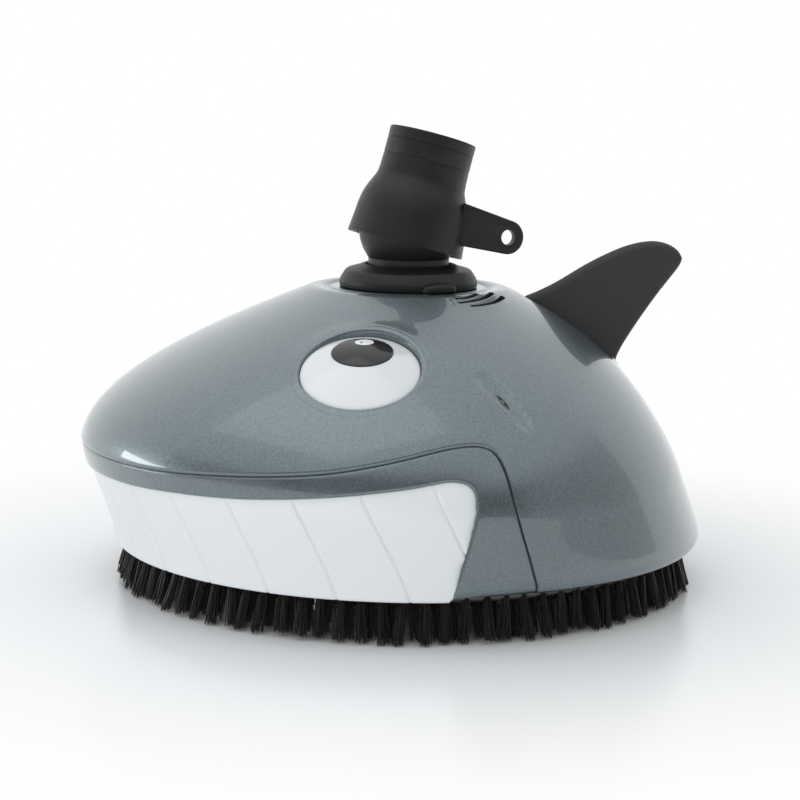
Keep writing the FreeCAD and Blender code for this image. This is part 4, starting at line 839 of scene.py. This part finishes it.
HOOD_TURN = turn_about("Z", 14.7) @ turn_about("X", -15.6) @ turn_about("Z", -26.7)
HOOD_PLACE = np.array([0, 0, 178.8])
OUTSIDE = through([(27.4, -8.7), (29.5, -8.7), (29.8, -8.4), (29.5, -4.6), (29.0, 0.0), (28.6, 5.0),
                   (28.0, 9.5), (27.0, 13.5), (25.6, 17.2), (24.0, 20.6), (22.8, 23.8), (22.4, 27.5),
                   (22.25, 31.0)], 90)
CUFF = np.array([(22.2, 33.3), (22.15, 33.55), (21.95, 33.7), (21.95, 33.95), (22.15, 34.1), (22.2, 34.4),
                 (22.2, 41.4), (22.2, 41.65), (22.0, 41.8), (22.0, 42.05), (22.2, 42.2), (22.2, 42.5),
                 (22.25, 46.8), (22.25, 47.45), (22.05, 47.7), (20.6, 47.7), (20.1, 47.5), (19.6, 46.9),
                 (19.25, 45.8), (19.2, 44.5), (19.2, 26.4), (18.9, 26.2), (17.8, 26.2), (17.6, 26.0),
                 (17.6, 19.6), (23.0, 12.5), (26.95, 6.0), (26.95, -8.3), (27.1, -8.6), (27.4, -8.7)])
hood_rings = turned_rings(np.vstack([OUTSIDE, CUFF]), *AXIS, 160) @ HOOD_TURN.T + HOOD_PLACE
satin, tree, shader = node_material("satin_charcoal", (0.013, 0.0135, 0.015), 0.42, specular=0.34)
clouded(tree, shader, 220.0, 0.30, 0.50, detail=5.0, grain=0.08)
hood = make_piece("hood_shell", hood_rings, ring_faces(*hood_rings.shape[:2]), satin, "hood",
                  nodes=["hose_hood"])
hood.data.set_sharp_from_angle(angle=0.7)

# The lug: rings round its hole, from the hole's wall over one face and round the rim to the other face
turn = np.linspace(0, 2 * np.pi, 120, endpoint=False)
way = np.stack([np.cos(turn), np.sin(turn)], -1)
TIP = np.array([49.0, 8.0])
LUG_RADIUS, LUG_HOLE = 8.6, 3.85
LUG_CORNERS = [(49.0, 16.6), (21.0, 18.5), (21.0, -3.0), (49.0, -0.6)]
limit = np.full(120, LUG_RADIUS)
for first, second in zip(LUG_CORNERS, LUG_CORNERS[1:]):
    edge = np.array(second) - np.array(first)
    normal = np.array([-edge[1], edge[0]]) / np.hypot(*edge)
    distance = (np.array(first) - TIP) @ normal
    facing = way @ normal
    hit = np.where(facing * distance > 1e-9, distance / np.where(np.abs(facing) < 1e-9, 1e-9, facing), 1e9)
    limit = np.where(way[:, 0] < 0, np.minimum(np.where(limit == LUG_RADIUS, 1e9, limit), hit), limit)
limit = np.where(limit > 1e8, LUG_RADIUS, limit)
even = 0 * limit
flat_part = limit - 1.0 - (LUG_HOLE + 0.45)
front_side = np.stack([LUG_HOLE + even, LUG_HOLE + 0.15 + even, LUG_HOLE + 0.45 + even,
                       LUG_HOLE + 0.45 + 0.4 * flat_part, LUG_HOLE + 0.45 + 0.8 * flat_part,
                       limit - 1.0, limit - 0.35, limit])
thickness = np.array([2.1, 2.4, 2.5, 2.5, 2.5, 2.5, 2.2, 1.6])
section_reach = np.concatenate([front_side, front_side[::-1]])
section_thick = np.concatenate([thickness, -thickness[::-1]])
plan = TIP + section_reach[..., None] * way
lug = np.stack([section_thick[:, None] + 0 * plan[..., 0], plan[..., 0], plan[..., 1]], -1)
lug = np.concatenate([lug, lug[:1]]) - np.array([0, TIP[0], 0])
lug = (lug @ turn_about("Z", 22.0).T + np.array([0, TIP[0], 0])) @ HOOD_TURN.T + HOOD_PLACE
lug_piece = make_piece("tether_lug", lug, grid_faces(*lug.shape[:2], closed=True), satin, "hood")
lug_piece.data.set_sharp_from_angle(angle=0.9)


# ---------------------------------------------------------------- bristles
# Black nylon filaments set in two staggered rows of tufts under the rim. They splay outwards,
# and their tips are uneven where they meet the floor.
chance = np.random.default_rng(7)
rows_of_tufts = [(139.6, 92, 40, 0.0), (133.6, 88, 30, 0.5)]
start_points, end_points = [], []
for ring_radius, tufts, filaments, offset in rows_of_tufts:
    heading = (np.arange(tufts) + offset + chance.normal(0, 0.05, tufts)) * 2 * np.pi / tufts
    tuft_lean = chance.normal(0, 0.085, tufts)
    tuft_splay = chance.normal(4.4, 0.9, tufts)
    tuft_length = chance.normal(0.0, 0.9, tufts)
    spread_in = np.sqrt(chance.uniform(0, 1, (tufts, filaments))) * 1.5
    spin = chance.uniform(0, 2 * np.pi, (tufts, filaments))
    radial, side_way = spread_in * np.cos(spin), spread_in * np.sin(spin)
    fan = chance.normal(1.9, 0.3, (tufts, filaments))
    out_x = np.stack([np.sin(heading), -np.cos(heading)], -1)[:, None]
    out_y = np.stack([np.cos(heading), np.sin(heading)], -1)[:, None]
    root = out_x * (ring_radius + radial)[..., None] + out_y * side_way[..., None]
    reach_out = ring_radius + radial * fan + tuft_splay[:, None]
    tip = out_x * np.minimum(reach_out, 148.2)[..., None]
    tip = tip + out_y * (side_way * fan + tuft_lean[:, None] * 20)[..., None]
    tip_z = 0.45 + np.abs(chance.normal(0, 1.0, (tufts, filaments))) + np.abs(tuft_length)[:, None]
    start_points.append(np.concatenate([root, np.full(root.shape[:2] + (1,), 22.4)], -1).reshape(-1, 3))
    end_points.append(np.concatenate([tip, tip_z[..., None]], -1).reshape(-1, 3))
roots = np.vstack(start_points)
tips = np.vstack(end_points)
along = np.array([0.0, 0.4, 0.75, 1.0])
thin = np.array([0.32, 0.31, 0.29, 0.22])
middle = roots[:, None] * (1 - along[:, None]) + tips[:, None] * along[:, None]
bend = chance.normal(0, 0.35, (len(roots), 1, 2)) * np.sin(np.pi * along)[None, :, None]
middle[..., :2] += bend
corner_turn = np.array([0, 2 * np.pi / 3, 4 * np.pi / 3])
corners = np.stack([np.cos(corner_turn), np.sin(corner_turn), 0 * corner_turn], -1)
hairs = middle[:, :, None] + thin[None, :, None, None] * corners[None, None]
count, levels = len(roots), len(along)
base = (np.arange(count) * levels * 3)[:, None, None, None]
i, j = np.meshgrid(np.arange(levels - 1), np.arange(3), indexing="ij")
k = (j + 1) % 3
quads = np.stack([i * 3 + j, (i + 1) * 3 + j, (i + 1) * 3 + k, i * 3 + k], -1)[None] + base
ends = np.array([(levels - 1) * 3 + 2, (levels - 1) * 3 + 1, (levels - 1) * 3])[None] + base[:, 0, 0]
hair_faces = quads.reshape(-1, 4).tolist() + ends.tolist()
nylon, tree, shader = node_material("black_nylon", (0.010, 0.0085, 0.008), 0.36)
place = tree.nodes.new("ShaderNodeTexCoord")
cloud = tree.nodes.new("ShaderNodeTexNoise")
cloud.inputs["Scale"].default_value = 500.0
tree.links.new(place.outputs["Object"], cloud.inputs["Vector"])
tinted(tree, shader, cloud.outputs["Fac"], (0.006, 0.005, 0.005), (0.022, 0.018, 0.017))
make_piece("bristle_tufts", hairs, hair_faces, nylon, "housing", nodes=["bristle_ring"])

# The ring that the tufts are set in, screwed up under the chassis
STRIP = np.array([(126.5, 14.8), (130.4, 14.8), (130.8, 15.2), (130.8, 19.0), (139.0, 19.0), (139.4, 19.4),
                  (139.4, 20.2), (139.1, 20.4), (126.3, 20.4), (126.0, 20.1), (126.0, 15.2), (126.5, 14.8)])
strip_rings = turned_rings(STRIP, *AXIS, 200)
make_piece("tuft_carrier", strip_rings, ring_faces(*strip_rings.shape[:2]), nylon, "housing",
           nodes=["bristle_carrier"], smooth=False)


# ---------------------------------------------------------------- pieces that keep their CAD shape
# The ball neck, seat, chassis, ducts, drive, axles, screws and weights: moulded, turned, sintered or
# stamped parts, each in its own plastic or metal.

def grained(name, base, second, roughness, metallic, scale, stretch=None, bump=0.0):
    """A material whose colour and roughness wander with noise of a given scale, drawn out along an axis."""
    material, tree, shader = node_material(name, base, roughness, metallic=metallic)
    noise = clouded(tree, shader, scale, roughness * 0.8, min(roughness * 1.25, 1.0), detail=4.0,
                    grain=bump, stretch=stretch)
    tinted(tree, shader, noise.outputs["Fac"], base, second)
    return material


def finish(material, *nodes):
    """Gives a material to carried-over CAD nodes."""
    for node in nodes:
        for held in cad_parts[node].material_slots:
            held.material = material


finish(satin, "ball_neck", "neck_clip", "hood_clip")
finish(grained("chassis_grey", (0.10, 0.11, 0.115), (0.14, 0.15, 0.155), 0.5, 0.0, 350.0, bump=0.1),
       "chassis_pan", "lower_spider", "upper_spider", "gear_plate", "gear_cover")
finish(grained("duct_blue", (0.05, 0.16, 0.30), (0.06, 0.19, 0.34), 0.42, 0.0, 120.0),
       "intake_duct", "outlet_duct")
finish(grained("gear_acetal", (0.72, 0.70, 0.64), (0.80, 0.78, 0.72), 0.35, 0.0, 200.0),
       "turbine_wheel", "weight_gear", "weight_pinion", "idler_gear", "idler_pinion", "swivel_gear")
finish(grained("seat_acetal", (0.62, 0.62, 0.60), (0.70, 0.70, 0.68), 0.4, 0.0, 200.0), "seat_ring")
finish(grained("turned_steel", (0.52, 0.53, 0.54), (0.64, 0.65, 0.66), 0.28, 1.0, 900.0, (1, 1, 0.1), 0.05),
       "fin_screws", "chassis_screws", "carrier_screws", "turbine_shaft", "weight_axle", "idler_axle",
       "axle_post", "gear_nuts", "neck_bearing")
finish(grained("sintered_bronze", (0.50, 0.33, 0.14), (0.60, 0.42, 0.20), 0.38, 1.0, 1400.0, bump=0.15),
       "lower_bush", "upper_bush")
finish(grained("cast_iron", (0.10, 0.10, 0.105), (0.17, 0.165, 0.16), 0.6, 0.7, 260.0, bump=0.4),
       "ballast_weights", "eccentric_weight")
finish(grained("anodised_aluminium", (0.66, 0.67, 0.68), (0.74, 0.75, 0.76), 0.3, 1.0, 700.0),
       "gear_posts", "gear_spacers")
finish(grained("seal_rubber", (0.018, 0.018, 0.018), (0.03, 0.03, 0.03), 0.7, 0.0, 500.0, bump=0.2),
       "neck_seal")
